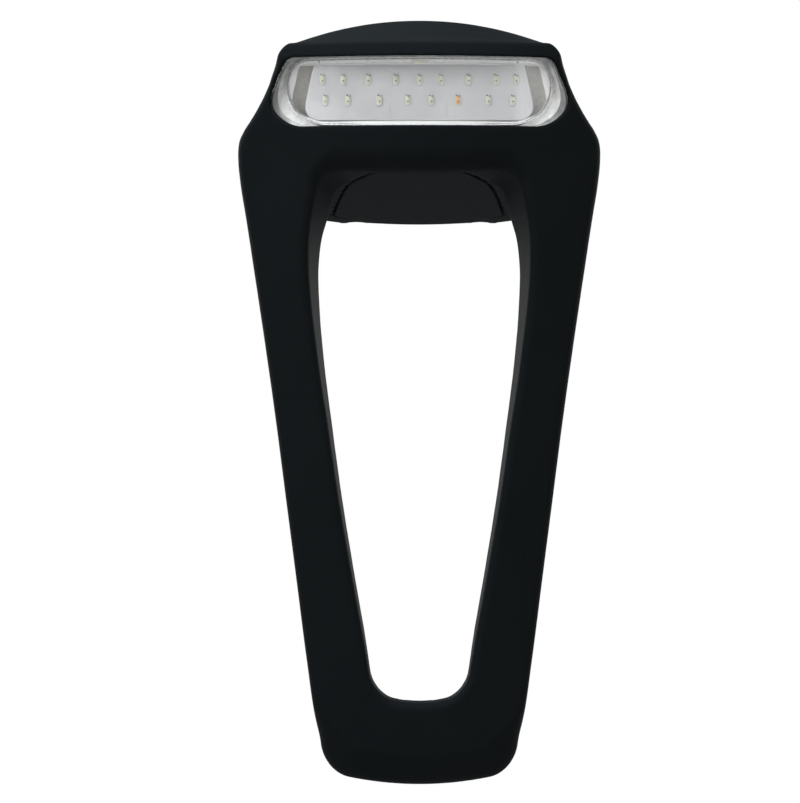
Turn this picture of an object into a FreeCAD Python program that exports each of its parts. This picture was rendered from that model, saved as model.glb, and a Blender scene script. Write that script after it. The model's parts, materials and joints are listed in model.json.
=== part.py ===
import FreeCAD, Part
import math
import os

# Strap-on bicycle light: a silicone head and strap round a small hard light module.
# Millimetres. +X is to the right, +Z is up and the lens faces -Y.
# The origin is on the axis of the round bar that the head's saddle sits on.

# Saddle and overall depth
BAR_RADIUS = 11.1
SADDLE_HALF_ANGLE = 58.4
SADDLE_LENGTH = 24.4
SADDLE_START = 0.6
HEAD_DEPTH = 17.7
FRONT_RADIUS = 40.0

# Head skin
SKIN = 1.25
BROW_Z = 7.45
BROW_DROP = 0.5
BROW_HALF_WIDTH = 13.4
WAIST_Z = 1.0
SHOULDER_Z = -3.3
SHOULDER_HALF_WIDTH = 18.3
UNDERSIDE_Z = -5.0
UNDERSIDE_SLOPE = 0.2137
UNDERSIDE_CROWN = 0.5
SLAB_THICKNESS = 6.0
DOME_RISE = 2.85
DOME_PEAK_DEPTH = 6.4
SEAT_LENGTH = 7.6
SEAT_START = 10.8
HOOK_WIDTH = 7.4
HOOK_RISE = 3.3
HOOK_CREST = 0.5
HOOK_LEAN = 0.9
HOOK_REACH = 25.1
DOME_STEPS = 4
DOME_START_DROP = 0.1
CUT_PAST = 5.0

# Strap
SPLIT_Z = -11.2
SPLIT_GAP = 0.08
STRAP_BOTTOM_Z = -66.95
BAR_HEIGHT = 8.1
BAR_HALF_WIDTH = 10.2
STRAP_THICK_TOP = 6.0
STRAP_THICK_LOW = 3.6
OPENING_BEND_Z = -25.7
OPENING_HALVES = (10.6, 9.75, 4.45)
OPENING_DRAFTS = (1.6, 0.85, 0.55)
OPENING_FRONT_DEPTH = 1.4
OPENING_BACK_DEPTH = 7.3
STRAP_SWING_GAP = 0.1
END_BEVEL_HEIGHT = 3.3
END_BEVEL_DEPTH = 1.5

# Lens and light board
LENS_HEIGHT = 6.95
LENS_TOP_HALF = 13.2
LENS_LOW_HALF = 14.9
LENS_THICKNESS = 1.2
LENS_RECESS = 0.45
LENS_LIP = 0.4
BROW_HEIGHT = 1.58
GASKET_THICKNESS = 0.4
GASKET_WIDTH = 0.9
LIGHT_BOARD_DEPTH = 3.7
LIGHT_BOARD_TOP_HALF = 10.6
LIGHT_BOARD_LOW_HALF = 11.45
LIGHT_BOARD_CORNER = 1.6
LIGHT_BOARD_HEIGHT = 5.6
BOARD_THICKNESS = 0.8
CHIP_WIDTH = 0.8
CHIP_HEIGHT = 1.4
CHIP_THICKNESS = 0.5
CHIP_ROW_DROP = 1.4
ROW_SPACING = 2.08
TOP_ROW_X = (-9.95, -7.80, -5.24, -2.42, 0.02, 2.22, 5.03, 7.85, 9.93)
LOW_ROW_X = (-9.64, -7.31, -4.09, -1.20, 1.20, 7.06, 9.57)
INDICATOR_X = 3.93
REFLECTOR_DISH = 4.4
REFLECTOR_DISH_DEPTH = 0.6
REFLECTOR_BACK = 6.2

# Housing
WALL = 1.0
FIT = 0.05
HOUSING_REAR_HALF = 10.9
FLOOR_SKIN = 2.5
HOUSING_SPLIT = 10.4
TONGUE = 0.8
SEAL_WIDTH = 0.5
SEAL_HEIGHT = 0.6

# Main board and what it carries
LINK_LENGTH = 1.0
LINK_COUNT = 6
LINK_PITCH = 1.27
LINK_SIZE = 0.5
MAIN_BOARD_WIDTH = 21.6
MAIN_BOARD_HEIGHT = 7.8
CONTROLLER_PLACE = (7.0, -1.7)
CONTROLLER_SIZE = 3.0
CHARGER_PLACE = (-7.4, 1.2)
CHARGER_WIDTH = 2.0
CHIP_RISE = 0.75
INDUCTOR_PLACE = (-7.4, -2.3)
INDUCTOR_SIZE = 3.0
INDUCTOR_RISE = 1.4
CAPACITOR_WIDTH = 1.0
CAPACITOR_PLACES = ((-10.0, 1.8), (-10.0, 0.5), (-10.0, -0.8), (-5.3, 1.6), (9.8, 1.8), (9.8, 0.5), (9.8, -0.8))
SWITCH_WIDTH = 6.0
SWITCH_DEPTH = 2.7
SWITCH_HEIGHT = 2.0
SWITCH_COVER = 0.25
PLUNGER_WIDTH = 2.4
PLUNGER_DEPTH = 1.2
PLUNGER_RISE = 0.7
SWITCH_TRAVEL = 0.3
BUTTON_TRAVEL = 0.6
TOUCH_GAP = 0.06
KEY_STEM = 2.2
KEY_CAP_WIDTH = 13.0
KEY_CAP_DEPTH = 4.2
KEY_CAP_THICKNESS = 1.3
BUTTON_HALF_WIDTH = 8.6
BUTTON_HALF_DEPTH = 2.9
BUTTON_GAP = 0.3

# Socket and flap
SOCKET_WIDTH = 8.94
SOCKET_DEPTH = 3.16
SOCKET_LENGTH = 6.3
SOCKET_SHEET = 0.3
SOCKET_TONGUE_WIDTH = 6.7
SOCKET_TONGUE_THICKNESS = 0.7
CONTACT_COUNT = 12
CONTACT_PITCH = 0.5
CONTACT_SIZE = 0.24
PORT_MARGIN = 0.7
FLAP_START = 2.4
FLAP_END = 20.4
FLAP_ARCH_HALF = 4.6
FLAP_BEND = (2.3, 4.4)
FLAP_END_HALF = 9.0
FLAP_THICKNESS = 1.4
FLAP_GAP = 0.3
FLAP_BOSS_RISE = 0.5
FLAP_BOSS_GAP = 0.35
HINGE_CLEARANCE = 0.05

# Battery
STACK_GAP = 0.64
BATTERY_WIDTH = 20.0
BATTERY_HEIGHT = 8.9
FOAM_THICKNESS = 0.4
FOAM_INSET = 1.8
PROTECTION_THICKNESS = 0.6
PROTECTION_WIDTH = 12.0
PROTECTION_HEIGHT = 3.2
PROTECTION_DROP = 0.6
LEAD_DIAMETER = 0.9
TUBE_SIDES = 12
LEAD_BEND = 1.2
LEAD_DROP = 2.2
LEAD_RUN = 2.2

# Places that follow from the sizes above
FRONT_Y = -(HEAD_DEPTH + BAR_RADIUS)
LIP_DEPTH = HEAD_DEPTH + BAR_RADIUS * (1.0 - math.cos(math.radians(SADDLE_HALF_ANGLE)))
LENS_TOP_Z = BROW_Z - BROW_HEIGHT
LENS_BOTTOM_Z = LENS_TOP_Z - LENS_HEIGHT
HOUSING_TOP_Z = LENS_TOP_Z + LENS_LIP + 0.15
SEAT_FLOOR_Z = HOUSING_TOP_Z + SKIN
DOME_TOP_Z = BROW_Z + DOME_RISE
LIGHT_BOARD_TOP_Z = LENS_TOP_Z + LENS_LIP - WALL - FIT
MAIN_BOARD_DEPTH = LIGHT_BOARD_DEPTH + BOARD_THICKNESS + LINK_LENGTH
MAIN_BOARD_BACK = MAIN_BOARD_DEPTH + BOARD_THICKNESS
MAIN_BOARD_TOP_Z = LIGHT_BOARD_TOP_Z
HOUSING_DEPTH = HEAD_DEPTH - SKIN - FIT
HOUSING_BACK_INSIDE = HOUSING_DEPTH - WALL
BATTERY_BACK = HOUSING_BACK_INSIDE - FOAM_THICKNESS
BATTERY_FRONT = MAIN_BOARD_BACK + SOCKET_DEPTH + STACK_GAP + PROTECTION_THICKNESS
BATTERY_THICKNESS = BATTERY_BACK - BATTERY_FRONT
BATTERY_LOW_Z = UNDERSIDE_Z - UNDERSIDE_SLOPE * BATTERY_FRONT + FLOOR_SKIN + WALL + 2.0 * FIT
BATTERY_TOP_Z = BATTERY_LOW_Z + BATTERY_HEIGHT
SWITCH_AXIS_DEPTH = MAIN_BOARD_BACK + SWITCH_DEPTH / 2.0
PLUNGER_TOP_Z = MAIN_BOARD_TOP_Z - SWITCH_COVER
SWITCH_TOP_Z = PLUNGER_TOP_Z - PLUNGER_RISE
ARM_SLOPE = (SHOULDER_HALF_WIDTH - BAR_HALF_WIDTH) / (SHOULDER_Z - (STRAP_BOTTOM_Z + BAR_HEIGHT / 2.0))
ARM_TOP_HALF = SHOULDER_HALF_WIDTH - ARM_SLOPE * (SHOULDER_Z - SPLIT_Z)
SWING_AXIS_DEPTH = FRONT_RADIUS - math.sqrt(
    (FRONT_RADIUS - STRAP_THICK_TOP) ** 2 - ARM_TOP_HALF ** 2) + STRAP_SWING_GAP
FAR = 200.0


def at(x, depth, z):
    return FreeCAD.Vector(x, FRONT_Y + depth, z)


def in_front_view(depth):
    return lambda u, v: at(u, depth, v)


def in_side_view(x):
    return lambda u, v: at(x, u, v)


def in_plan_view(z):
    return lambda u, v: at(u, v, z)


def rounded_outline(corners, place):
    """Closed wire through corners (u, v, radius), each corner turned by a tangent arc."""
    edges = []
    joints = []
    count = len(corners)
    for index in range(count):
        u, v, radius = corners[index]
        before = corners[index - 1]
        after = corners[(index + 1) % count]
        corner = FreeCAD.Vector(u, v, 0)
        back = (FreeCAD.Vector(before[0], before[1], 0) - corner).normalize()
        ahead = (FreeCAD.Vector(after[0], after[1], 0) - corner).normalize()
        half = back.getAngle(ahead) / 2.0
        if radius <= 0 or half > 1.5705:
            joints.append((corner, None, corner))
            continue
        reach = radius / math.tan(half)
        bisector = (back + ahead).normalize()
        middle = corner + bisector * (radius / math.sin(half) - radius)
        joints.append((corner + back * reach, middle, corner + ahead * reach))
    for index in range(count):
        start, middle, end = joints[index]
        if middle is not None:
            edges.append(Part.Arc(place(start.x, start.y), place(middle.x, middle.y),
                                  place(end.x, end.y)).toShape())
        following = joints[(index + 1) % count][0]
        if (following - end).Length > 1e-6:
            edges.append(Part.makeLine(place(end.x, end.y), place(following.x, following.y)))
    return Part.Wire(edges)


def prism(wire, direction):
    return Part.Face(wire).extrude(direction)


def front_prism(corners, start, end):
    return prism(rounded_outline(corners, in_front_view(start)), FreeCAD.Vector(0, end - start, 0))


def side_prism(corners, half_width, centre=0.0):
    wire = rounded_outline(corners, in_side_view(centre - half_width))
    return prism(wire, FreeCAD.Vector(2.0 * half_width, 0, 0))


def plan_prism(corners, low, high):
    return prism(rounded_outline(corners, in_plan_view(low)), FreeCAD.Vector(0, 0, high - low))


def block(x, depth, z, width, thickness, height):
    """Box centred on x, from depth backwards and from z upwards."""
    return Part.makeBox(width, thickness, height, at(x - width / 2.0, depth, z))


def mirrored(points):
    """Corners of a symmetric outline, from its right half listed top to bottom."""
    left = [(-p[0], p[1], p[2]) for p in reversed(points)]
    return list(points) + left


def behind(offset):
    """Everything behind the bowed front face set back by offset."""
    centre = at(0, FRONT_RADIUS, -FAR / 2.0)
    return Part.makeCylinder(FRONT_RADIUS - offset, FAR, centre, FreeCAD.Vector(0, 0, 1))


def bow(x):
    """Depth of the bowed front face at x."""
    return FRONT_RADIUS - math.sqrt(FRONT_RADIUS ** 2 - x ** 2)


def underside(depth):
    return UNDERSIDE_Z - UNDERSIDE_SLOPE * depth


def tube(points, diameter):
    """Twelve-sided tube along straight runs, mitred where they meet."""
    path = Part.makePolygon(points)
    along = (points[1] - points[0]).normalize()
    spoke = FreeCAD.Vector(0, 0, diameter / 2.0)
    corners = [points[0] + FreeCAD.Rotation(along, 360.0 * step / TUBE_SIDES).multVec(spoke)
               for step in range(TUBE_SIDES)]
    sweep = Part.BRepOffsetAPI.MakePipeShell(path)
    sweep.setTransitionMode(1)
    sweep.add(Part.makePolygon(corners + corners[:1]))
    sweep.build()
    sweep.makeSolid()
    return sweep.shape()


def bar():
    return Part.makeCylinder(BAR_RADIUS, FAR, FreeCAD.Vector(-FAR / 2.0, 0, 0), FreeCAD.Vector(1, 0, 0))


# Head and strap forms

def shoulder_outline(depth):
    """Front outline of the head down to the strap split: brow, flared cheeks and arm roots."""
    cheek_half = BROW_HALF_WIDTH + 0.9
    cheek_z = BROW_Z - 1.5
    waist_half = BROW_HALF_WIDTH + 2.15
    waist_z = cheek_z - 3.7
    place = in_front_view(depth)
    brow = Part.Arc(place(-BROW_HALF_WIDTH, BROW_Z - BROW_DROP), place(0, BROW_Z),
                    place(BROW_HALF_WIDTH, BROW_Z - BROW_DROP)).toShape()
    edges = [brow]
    for side in (1, -1):
        run = [place(side * BROW_HALF_WIDTH, BROW_Z - BROW_DROP), place(side * cheek_half, cheek_z),
               place(side * waist_half, waist_z), place(side * SHOULDER_HALF_WIDTH, SHOULDER_Z),
               place(side * ARM_TOP_HALF, SPLIT_Z)]
        edges.append(Part.makeLine(run[0], run[1]))
        edges.append(Part.Arc(run[1], run[2], run[3]).toShape())
        edges.append(Part.makeLine(run[3], run[4]))
    edges.append(Part.makeLine(place(ARM_TOP_HALF, SPLIT_Z), place(-ARM_TOP_HALF, SPLIT_Z)))
    return Part.Wire(Part.__sortEdges__(edges))


def loop_opening():
    """Drafted opening inside the loop: wider at the front face than at the back."""
    wires = []
    for depth in (-CUT_PAST, STRAP_THICK_TOP + CUT_PAST):
        widening = (OPENING_BACK_DEPTH - depth) / (OPENING_BACK_DEPTH - OPENING_FRONT_DEPTH)
        top, bend, low = [half + widening * draft for half, draft in zip(OPENING_HALVES, OPENING_DRAFTS)]
        low_z = STRAP_BOTTOM_Z + BAR_HEIGHT - widening * OPENING_DRAFTS[2]
        corners = mirrored([(top, UNDERSIDE_Z + 0.2, 3.0), (bend, OPENING_BEND_Z, 60.0), (low, low_z, 2.6)])
        wires.append(rounded_outline(corners, in_front_view(depth)))
    return Part.makeLoft(wires, True, True)


def core_section(depth, top_z, half_top, edge_z, half_waist, half_low):
    """Closed section of the head core: arched top, sides bent at the waist and crowned underside."""
    place = in_front_view(depth)
    low_z = underside(depth)
    pad_half = half_low - 1.2
    right = [(half_top, edge_z), (half_waist, WAIST_Z), (half_low, low_z + 1.2), (pad_half, low_z)]
    left = [(-x, z) for x, z in reversed(right)]
    edges = [Part.Arc(place(*left[-1]), place(0, top_z), place(*right[0])).toShape()]
    for start, end in zip(right[:-1], right[1:]):
        edges.append(Part.makeLine(place(*start), place(*end)))
    edges.append(Part.Arc(place(*right[-1]), place(0, low_z - UNDERSIDE_CROWN), place(*left[0])).toShape())
    for start, end in zip(left[:-1], left[1:]):
        edges.append(Part.makeLine(place(*start), place(*end)))
    return Part.Wire(edges)


def head_core():
    """Ruled body behind the front slab: the dome that covers the button, then the seat and the saddle."""
    saddle_half = SADDLE_LENGTH / 2.0
    waist_half = BROW_HALF_WIDTH + 2.8
    sections = []
    for step in range(DOME_STEPS + 1):
        share = step / DOME_STEPS
        rise = DOME_RISE * math.sin(share * math.pi / 2.0)
        sections.append(core_section(DOME_PEAK_DEPTH * share, BROW_Z + rise - DOME_START_DROP * (1.0 - share),
                                     BROW_HALF_WIDTH - 0.3 * share, BROW_Z - 1.1 + 1.5 * share,
                                     waist_half - 1.0 + share, waist_half - 1.2 - 0.4 * share))
    sections.append(core_section(SEAT_START, BROW_Z + DOME_RISE * 0.8, saddle_half + 0.7, BROW_Z + 0.3,
                                 saddle_half + 2.4, saddle_half + 0.8))
    for depth in (HEAD_DEPTH - SADDLE_START, LIP_DEPTH):
        sections.append(core_section(depth, BROW_Z, saddle_half, BROW_Z - 0.6, saddle_half, saddle_half))
    return Part.makeLoft(sections, True, True)


def hook_lug():
    """Lug that holds the strap's end bar: it leans forward over its seat and reaches back over the bar."""
    top_z = SEAT_FLOOR_Z + HOOK_RISE
    root = SEAT_START + SEAT_LENGTH
    corners = [(root, SEAT_FLOOR_Z - SKIN, 0), (root, top_z - 1.6, 0.6), (root - HOOK_LEAN, top_z - 0.9, 0.4),
               (root - HOOK_LEAN + 0.4, top_z, 0.4), (HOOK_REACH, top_z + HOOK_CREST, 0.4),
               (HOOK_REACH, SEAT_FLOOR_Z - SKIN, 0)]
    return side_prism(corners, HOOK_WIDTH / 2.0)


def strap_seat():
    """Space over the seat, cut out of the head core behind the dome."""
    top = DOME_TOP_Z + CUT_PAST
    rear = LIP_DEPTH + CUT_PAST
    corners = [(SEAT_START, SEAT_FLOOR_Z, 0.8), (SEAT_START, top, 0), (rear, top, 0), (rear, SEAT_FLOOR_Z, 0)]
    return side_prism(corners, SHOULDER_HALF_WIDTH + CUT_PAST)


def lens_outline(grow):
    top = LENS_TOP_Z + grow
    low = LENS_BOTTOM_Z - grow
    return mirrored([(LENS_TOP_HALF + grow, top, 1.0 + grow),
                     (LENS_LOW_HALF - 0.5 + grow, LENS_BOTTOM_Z + LENS_HEIGHT * 0.62, 4.0),
                     (LENS_LOW_HALF + grow, low, 3.0 + grow)])


def housing_envelope(grow):
    """Outside of the closed hard housing, grown by an amount."""
    top = HOUSING_TOP_Z + grow
    side = LENS_LOW_HALF + LENS_LIP + grow
    outline = mirrored([(LENS_TOP_HALF + 0.5 + grow, top, 1.5 + grow),
                        (side - 0.3, LENS_BOTTOM_Z + LENS_HEIGHT * 0.5, 4.0),
                        (LENS_LOW_HALF - 2.4 + grow, LENS_BOTTOM_Z - 4.6, 3.0),
                        (LENS_LOW_HALF - 3.6 + grow, LENS_BOTTOM_Z - 9.0, 0)])
    shape = front_prism(outline, 0.0, HOUSING_DEPTH + grow)
    floor_front = underside(0) + FLOOR_SKIN - grow
    floor_back = underside(HOUSING_DEPTH + grow) + FLOOR_SKIN - grow
    shape = shape.common(side_prism([(0, top + 1.0, 0), (HOUSING_DEPTH + grow, top + 1.0, 0),
                                     (HOUSING_DEPTH + grow, floor_back, 1.5), (0, floor_front, 0)], FAR / 4.0))
    plan = mirrored([(HOUSING_REAR_HALF + grow, HOUSING_DEPTH + grow, 2.0),
                     (BROW_HALF_WIDTH - 0.8 + grow, HOUSING_SPLIT - 1.0, 6.0),
                     (side + 0.3, bow(LENS_LOW_HALF) + 1.6, 2.0), (side + 0.3, -1.0, 0)])
    shape = shape.common(plan_prism(plan, -FAR / 4.0, FAR / 4.0))
    return shape.common(behind(LENS_RECESS + LENS_THICKNESS + GASKET_THICKNESS - grow))


def button_column(grow, low, high):
    """Upright oval column of the button, grown by an amount."""
    ellipse = Part.Ellipse(FreeCAD.Vector(0, 0, 0), BUTTON_HALF_WIDTH + grow, BUTTON_HALF_DEPTH + grow)
    face = Part.Face(Part.Wire([ellipse.toShape()]))
    face.translate(at(0, DOME_PEAK_DEPTH, low))
    return face.extrude(FreeCAD.Vector(0, 0, high - low))


def flap_outline(grow):
    """Plan of the flap, a rounded arch that widens towards the back."""
    return mirrored([(FLAP_END_HALF + grow, FLAP_END + grow, 1.0),
                     (FLAP_ARCH_HALF + FLAP_BEND[0] + grow, FLAP_START + FLAP_BEND[1], 10.0),
                     (FLAP_ARCH_HALF + grow, FLAP_START - grow, 1.2)])


def flap_slab(grow, thickness):
    """Layer of the head's underside inside the flap outline."""
    upper = [(0, underside(0) + thickness, 0), (LIP_DEPTH, underside(LIP_DEPTH) + thickness, 0),
             (LIP_DEPTH, underside(LIP_DEPTH) - 3.0, 0), (0, underside(0) - 3.0, 0)]
    layer = side_prism(upper, SHOULDER_HALF_WIDTH)
    return layer.common(plan_prism(flap_outline(grow), -FAR / 4.0, FAR / 4.0))


def port_hole(grow, low, high):
    """Rounded slot round the socket's mouth, seen from below."""
    half_width = SOCKET_WIDTH / 2.0 + PORT_MARGIN + grow
    half_depth = SOCKET_DEPTH / 2.0 + PORT_MARGIN + grow
    centre = MAIN_BOARD_BACK + SOCKET_DEPTH / 2.0
    radius = half_depth - 0.05
    corners = mirrored([(half_width, centre - half_depth, radius), (half_width, centre + half_depth, radius)])
    return plan_prism(corners, low, high)


def silicone_head():
    """Whole outer form of the silicone head, not yet hollowed."""
    slab = prism(shoulder_outline(-1.0), FreeCAD.Vector(0, LIP_DEPTH, 0))
    slab = slab.common(behind(0)).cut(behind(SLAB_THICKNESS)).cut(loop_opening())
    core = head_core().common(behind(0)).cut(strap_seat())
    head = slab.fuse([core, hook_lug()]).removeSplitter()
    return head.cut(bar())


def make_sleeve(head):
    sleeve = head.cut(housing_envelope(FIT))
    pocket = front_prism(lens_outline(LENS_LIP + FIT), -CUT_PAST, LIP_DEPTH).common(behind(LENS_RECESS - FIT))
    sleeve = sleeve.cut(pocket.cut(behind(LENS_RECESS + LENS_THICKNESS + GASKET_THICKNESS + FIT)))
    sleeve = sleeve.cut(front_prism(lens_outline(0), -CUT_PAST, SLAB_THICKNESS))
    sleeve = sleeve.cut(button_column(BUTTON_GAP, HOUSING_TOP_Z - 1.0, DOME_TOP_Z + 2.0))
    sleeve = sleeve.cut(flap_slab(FLAP_GAP, FLAP_THICKNESS + 0.1))
    return sleeve.cut(port_hole(0, underside(LIP_DEPTH), underside(0) + FLOOR_SKIN))


def make_button_dome():
    """Top of the dome over the key, split from the skin all round by the button's gap."""
    core = head_core()
    inside = core.copy()
    inside.translate(FreeCAD.Vector(0, 0, -SKIN))
    return core.cut(inside).common(button_column(0, SEAT_FLOOR_Z, DOME_TOP_Z + 2.0))


def make_port_flap(head):
    flap = flap_slab(0, FLAP_THICKNESS).common(head)
    boss = port_hole(-FLAP_BOSS_GAP, underside(LIP_DEPTH), underside(0) + FLOOR_SKIN)
    boss = boss.common(flap_slab(0, FLAP_THICKNESS + FLAP_BOSS_RISE)).cut(flap_slab(0, FLAP_THICKNESS / 2.0))
    return flap.fuse(boss).removeSplitter()


def make_strap():
    """Loop of two tapering arms and an end bar, drafted inside and thinner towards the end."""
    low_z = STRAP_BOTTOM_Z
    end_half = BAR_HALF_WIDTH - ARM_SLOPE * BAR_HEIGHT / 2.0
    outline = mirrored([(ARM_TOP_HALF, SPLIT_Z - SPLIT_GAP, 0), (end_half, low_z + 0.8, 2.8),
                        (end_half - 4.6, low_z, 12.0)])
    side = [(-1.0, SPLIT_Z, 0), (LIP_DEPTH, SPLIT_Z, 0), (LIP_DEPTH, low_z - 1.0, 0),
            (END_BEVEL_DEPTH, low_z - 1.0, 0), (END_BEVEL_DEPTH, low_z, 0.6),
            (0.3, low_z + END_BEVEL_HEIGHT, 1.5), (-1.0, low_z + END_BEVEL_HEIGHT, 0)]
    body = front_prism(outline, -CUT_PAST, LIP_DEPTH).common(behind(0)).common(side_prism(side, FAR / 4.0))
    height = SPLIT_Z - low_z
    centre = at(0, FRONT_RADIUS, low_z - 1.0)
    taper = (STRAP_THICK_TOP - STRAP_THICK_LOW) / height
    back = Part.makeCone(FRONT_RADIUS - STRAP_THICK_LOW + taper, FRONT_RADIUS - STRAP_THICK_TOP - taper,
                         height + 2.0, centre, FreeCAD.Vector(0, 0, 1))
    return body.cut(back).cut(loop_opening())


# Hard module

def make_lens():
    window = front_prism(lens_outline(LENS_LIP), -CUT_PAST, HOUSING_SPLIT)
    return window.common(behind(LENS_RECESS)).cut(behind(LENS_RECESS + LENS_THICKNESS))


def make_lens_gasket():
    ring = front_prism(lens_outline(LENS_LIP), -CUT_PAST, HOUSING_SPLIT)
    ring = ring.cut(front_prism(lens_outline(LENS_LIP - GASKET_WIDTH), -CUT_PAST, HOUSING_SPLIT))
    front = LENS_RECESS + LENS_THICKNESS
    return ring.common(behind(front)).cut(behind(front + GASKET_THICKNESS))


def housing_shell():
    """Hollow housing with an open window at the front and holes for the key and the socket."""
    shell = housing_envelope(0).cut(housing_envelope(-WALL))
    shell = shell.cut(front_prism(lens_outline(LENS_LIP - WALL), -CUT_PAST, HOUSING_SPLIT - WALL))
    key_hole = Part.makeCylinder(KEY_STEM / 2.0 + 0.2, 3.0, at(0, SWITCH_AXIS_DEPTH, HOUSING_TOP_Z - 2.0),
                                 FreeCAD.Vector(0, 0, 1))
    shell = shell.cut(key_hole)
    return shell.cut(port_hole(FIT - PORT_MARGIN, underside(LIP_DEPTH), underside(0) + FLOOR_SKIN + 2.0 * WALL))


def split_behind(depth):
    return block(0, depth, -FAR / 4.0, FAR, FAR, FAR / 2.0)


def tongue_ring(grow, start, end):
    """Ring just inside the housing wall, from start to end in depth."""
    ring = housing_envelope(-WALL + grow).cut(housing_envelope(-WALL - SEAL_WIDTH + grow))
    return ring.common(split_behind(start)).cut(split_behind(end))


def make_front_housing():
    front = housing_shell().cut(split_behind(HOUSING_SPLIT))
    return front.cut(tongue_ring(SEAL_WIDTH, HOUSING_SPLIT - SEAL_HEIGHT, HOUSING_SPLIT))


def make_rear_housing():
    rear = housing_shell().common(split_behind(HOUSING_SPLIT))
    root = tongue_ring(0, HOUSING_SPLIT, BATTERY_FRONT - FIT)
    tongue = tongue_ring(-FIT, HOUSING_SPLIT - TONGUE, BATTERY_FRONT - FIT)
    return rear.fuse([root, tongue]).removeSplitter()


def make_housing_seal():
    return tongue_ring(SEAL_WIDTH, HOUSING_SPLIT - SEAL_HEIGHT, HOUSING_SPLIT)


def make_light_board():
    """Board a little wider at its lower edge, with large lower corners."""
    low_z = LIGHT_BOARD_TOP_Z - LIGHT_BOARD_HEIGHT
    corners = mirrored([(LIGHT_BOARD_TOP_HALF, LIGHT_BOARD_TOP_Z, LIGHT_BOARD_CORNER / 3.0),
                        (LIGHT_BOARD_LOW_HALF, low_z, LIGHT_BOARD_CORNER)])
    return front_prism(corners, LIGHT_BOARD_DEPTH, LIGHT_BOARD_DEPTH + BOARD_THICKNESS)


def chip_places():
    """Centres of the white light chips in their two staggered rows."""
    top_z = LIGHT_BOARD_TOP_Z - CHIP_ROW_DROP
    return [(x, top_z) for x in TOP_ROW_X] + [(x, top_z - ROW_SPACING) for x in LOW_ROW_X]


def light_chip(place):
    x, z = place
    return block(x, LIGHT_BOARD_DEPTH - CHIP_THICKNESS, z - CHIP_HEIGHT / 2.0, CHIP_WIDTH,
                 CHIP_THICKNESS, CHIP_HEIGHT)


def make_side_reflectors():
    """Dished reflector blocks at the two ends of the light board, behind the lens's swept ends."""
    outline = lens_outline(LENS_LIP - WALL - FIT)
    solid = front_prism(outline, -CUT_PAST, REFLECTOR_BACK)
    solid = solid.common(behind(LENS_RECESS + LENS_THICKNESS + GASKET_THICKNESS + FIT))
    solid = solid.cut(block(0, -CUT_PAST, -FAR / 4.0, 2.0 * (LIGHT_BOARD_LOW_HALF + FIT), FAR, FAR / 2.0))
    dish_z = LENS_BOTTOM_Z + LENS_HEIGHT / 2.0
    for side in (1, -1):
        centre = at(side * LIGHT_BOARD_LOW_HALF, REFLECTOR_DISH_DEPTH, dish_z)
        solid = solid.cut(Part.makeSphere(REFLECTOR_DISH, centre))
    return solid


def make_main_board():
    board = block(0, MAIN_BOARD_DEPTH, MAIN_BOARD_TOP_Z - MAIN_BOARD_HEIGHT, MAIN_BOARD_WIDTH,
                  BOARD_THICKNESS, MAIN_BOARD_HEIGHT)
    return board


def on_main_board(x, z, width, height, thickness):
    return block(x, MAIN_BOARD_BACK, z, width, thickness, height)


def make_capacitors():
    chips = []
    for x, z in CAPACITOR_PLACES:
        chips.append(on_main_board(x, z, CAPACITOR_WIDTH, CAPACITOR_WIDTH * 0.6, CAPACITOR_WIDTH * 0.5))
    return Part.makeCompound(chips)


def make_inductor():
    x, z = INDUCTOR_PLACE
    base = on_main_board(x, z, INDUCTOR_SIZE, INDUCTOR_SIZE, INDUCTOR_RISE)
    top = at(x, MAIN_BOARD_BACK + INDUCTOR_RISE, z + INDUCTOR_SIZE / 2.0)
    return base.fuse(Part.makeCylinder(INDUCTOR_SIZE * 0.4, INDUCTOR_RISE * 0.2, top, FreeCAD.Vector(0, 1, 0)))


def make_link_pins():
    pins = []
    for index in range(LINK_COUNT):
        x = (index - (LINK_COUNT - 1) / 2.0) * LINK_PITCH
        pins.append(block(x, LIGHT_BOARD_DEPTH + BOARD_THICKNESS,
                          LIGHT_BOARD_TOP_Z - LIGHT_BOARD_HEIGHT + 0.6, LINK_SIZE, LINK_LENGTH, LINK_SIZE))
    return Part.makeCompound(pins)


def make_switch_body():
    body = on_main_board(0, SWITCH_TOP_Z - SWITCH_HEIGHT, SWITCH_WIDTH, SWITCH_HEIGHT, SWITCH_DEPTH)
    well = block(0, SWITCH_AXIS_DEPTH - PLUNGER_DEPTH / 2.0 - FIT, SWITCH_TOP_Z - 1.2,
                 PLUNGER_WIDTH + 2.0 * FIT, PLUNGER_DEPTH + 2.0 * FIT, 2.0)
    return body.cut(well)


def make_switch_plunger():
    low_z = SWITCH_TOP_Z - 1.2 + SWITCH_TRAVEL + FIT
    return block(0, SWITCH_AXIS_DEPTH - PLUNGER_DEPTH / 2.0, low_z, PLUNGER_WIDTH, PLUNGER_DEPTH,
                 PLUNGER_TOP_Z - low_z)


def make_switch_cover():
    """Sheet cover over the switch body, open round the plunger."""
    cover = block(0, MAIN_BOARD_BACK, SWITCH_TOP_Z, SWITCH_WIDTH, SWITCH_DEPTH, SWITCH_COVER)
    hole = block(0, SWITCH_AXIS_DEPTH - PLUNGER_DEPTH / 2.0 - 0.1, SWITCH_TOP_Z - 0.5,
                 PLUNGER_WIDTH + 0.2, PLUNGER_DEPTH + 0.2, 2.0)
    cover = cover.cut(hole)
    for side in (1, -1):
        x = side * (SWITCH_WIDTH / 2.0 + SWITCH_COVER / 2.0)
        cover = cover.fuse(block(x, MAIN_BOARD_BACK, SWITCH_TOP_Z - SWITCH_HEIGHT * 0.6, SWITCH_COVER,
                                 SWITCH_DEPTH, SWITCH_HEIGHT * 0.6 + SWITCH_COVER))
    return cover.removeSplitter()


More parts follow.
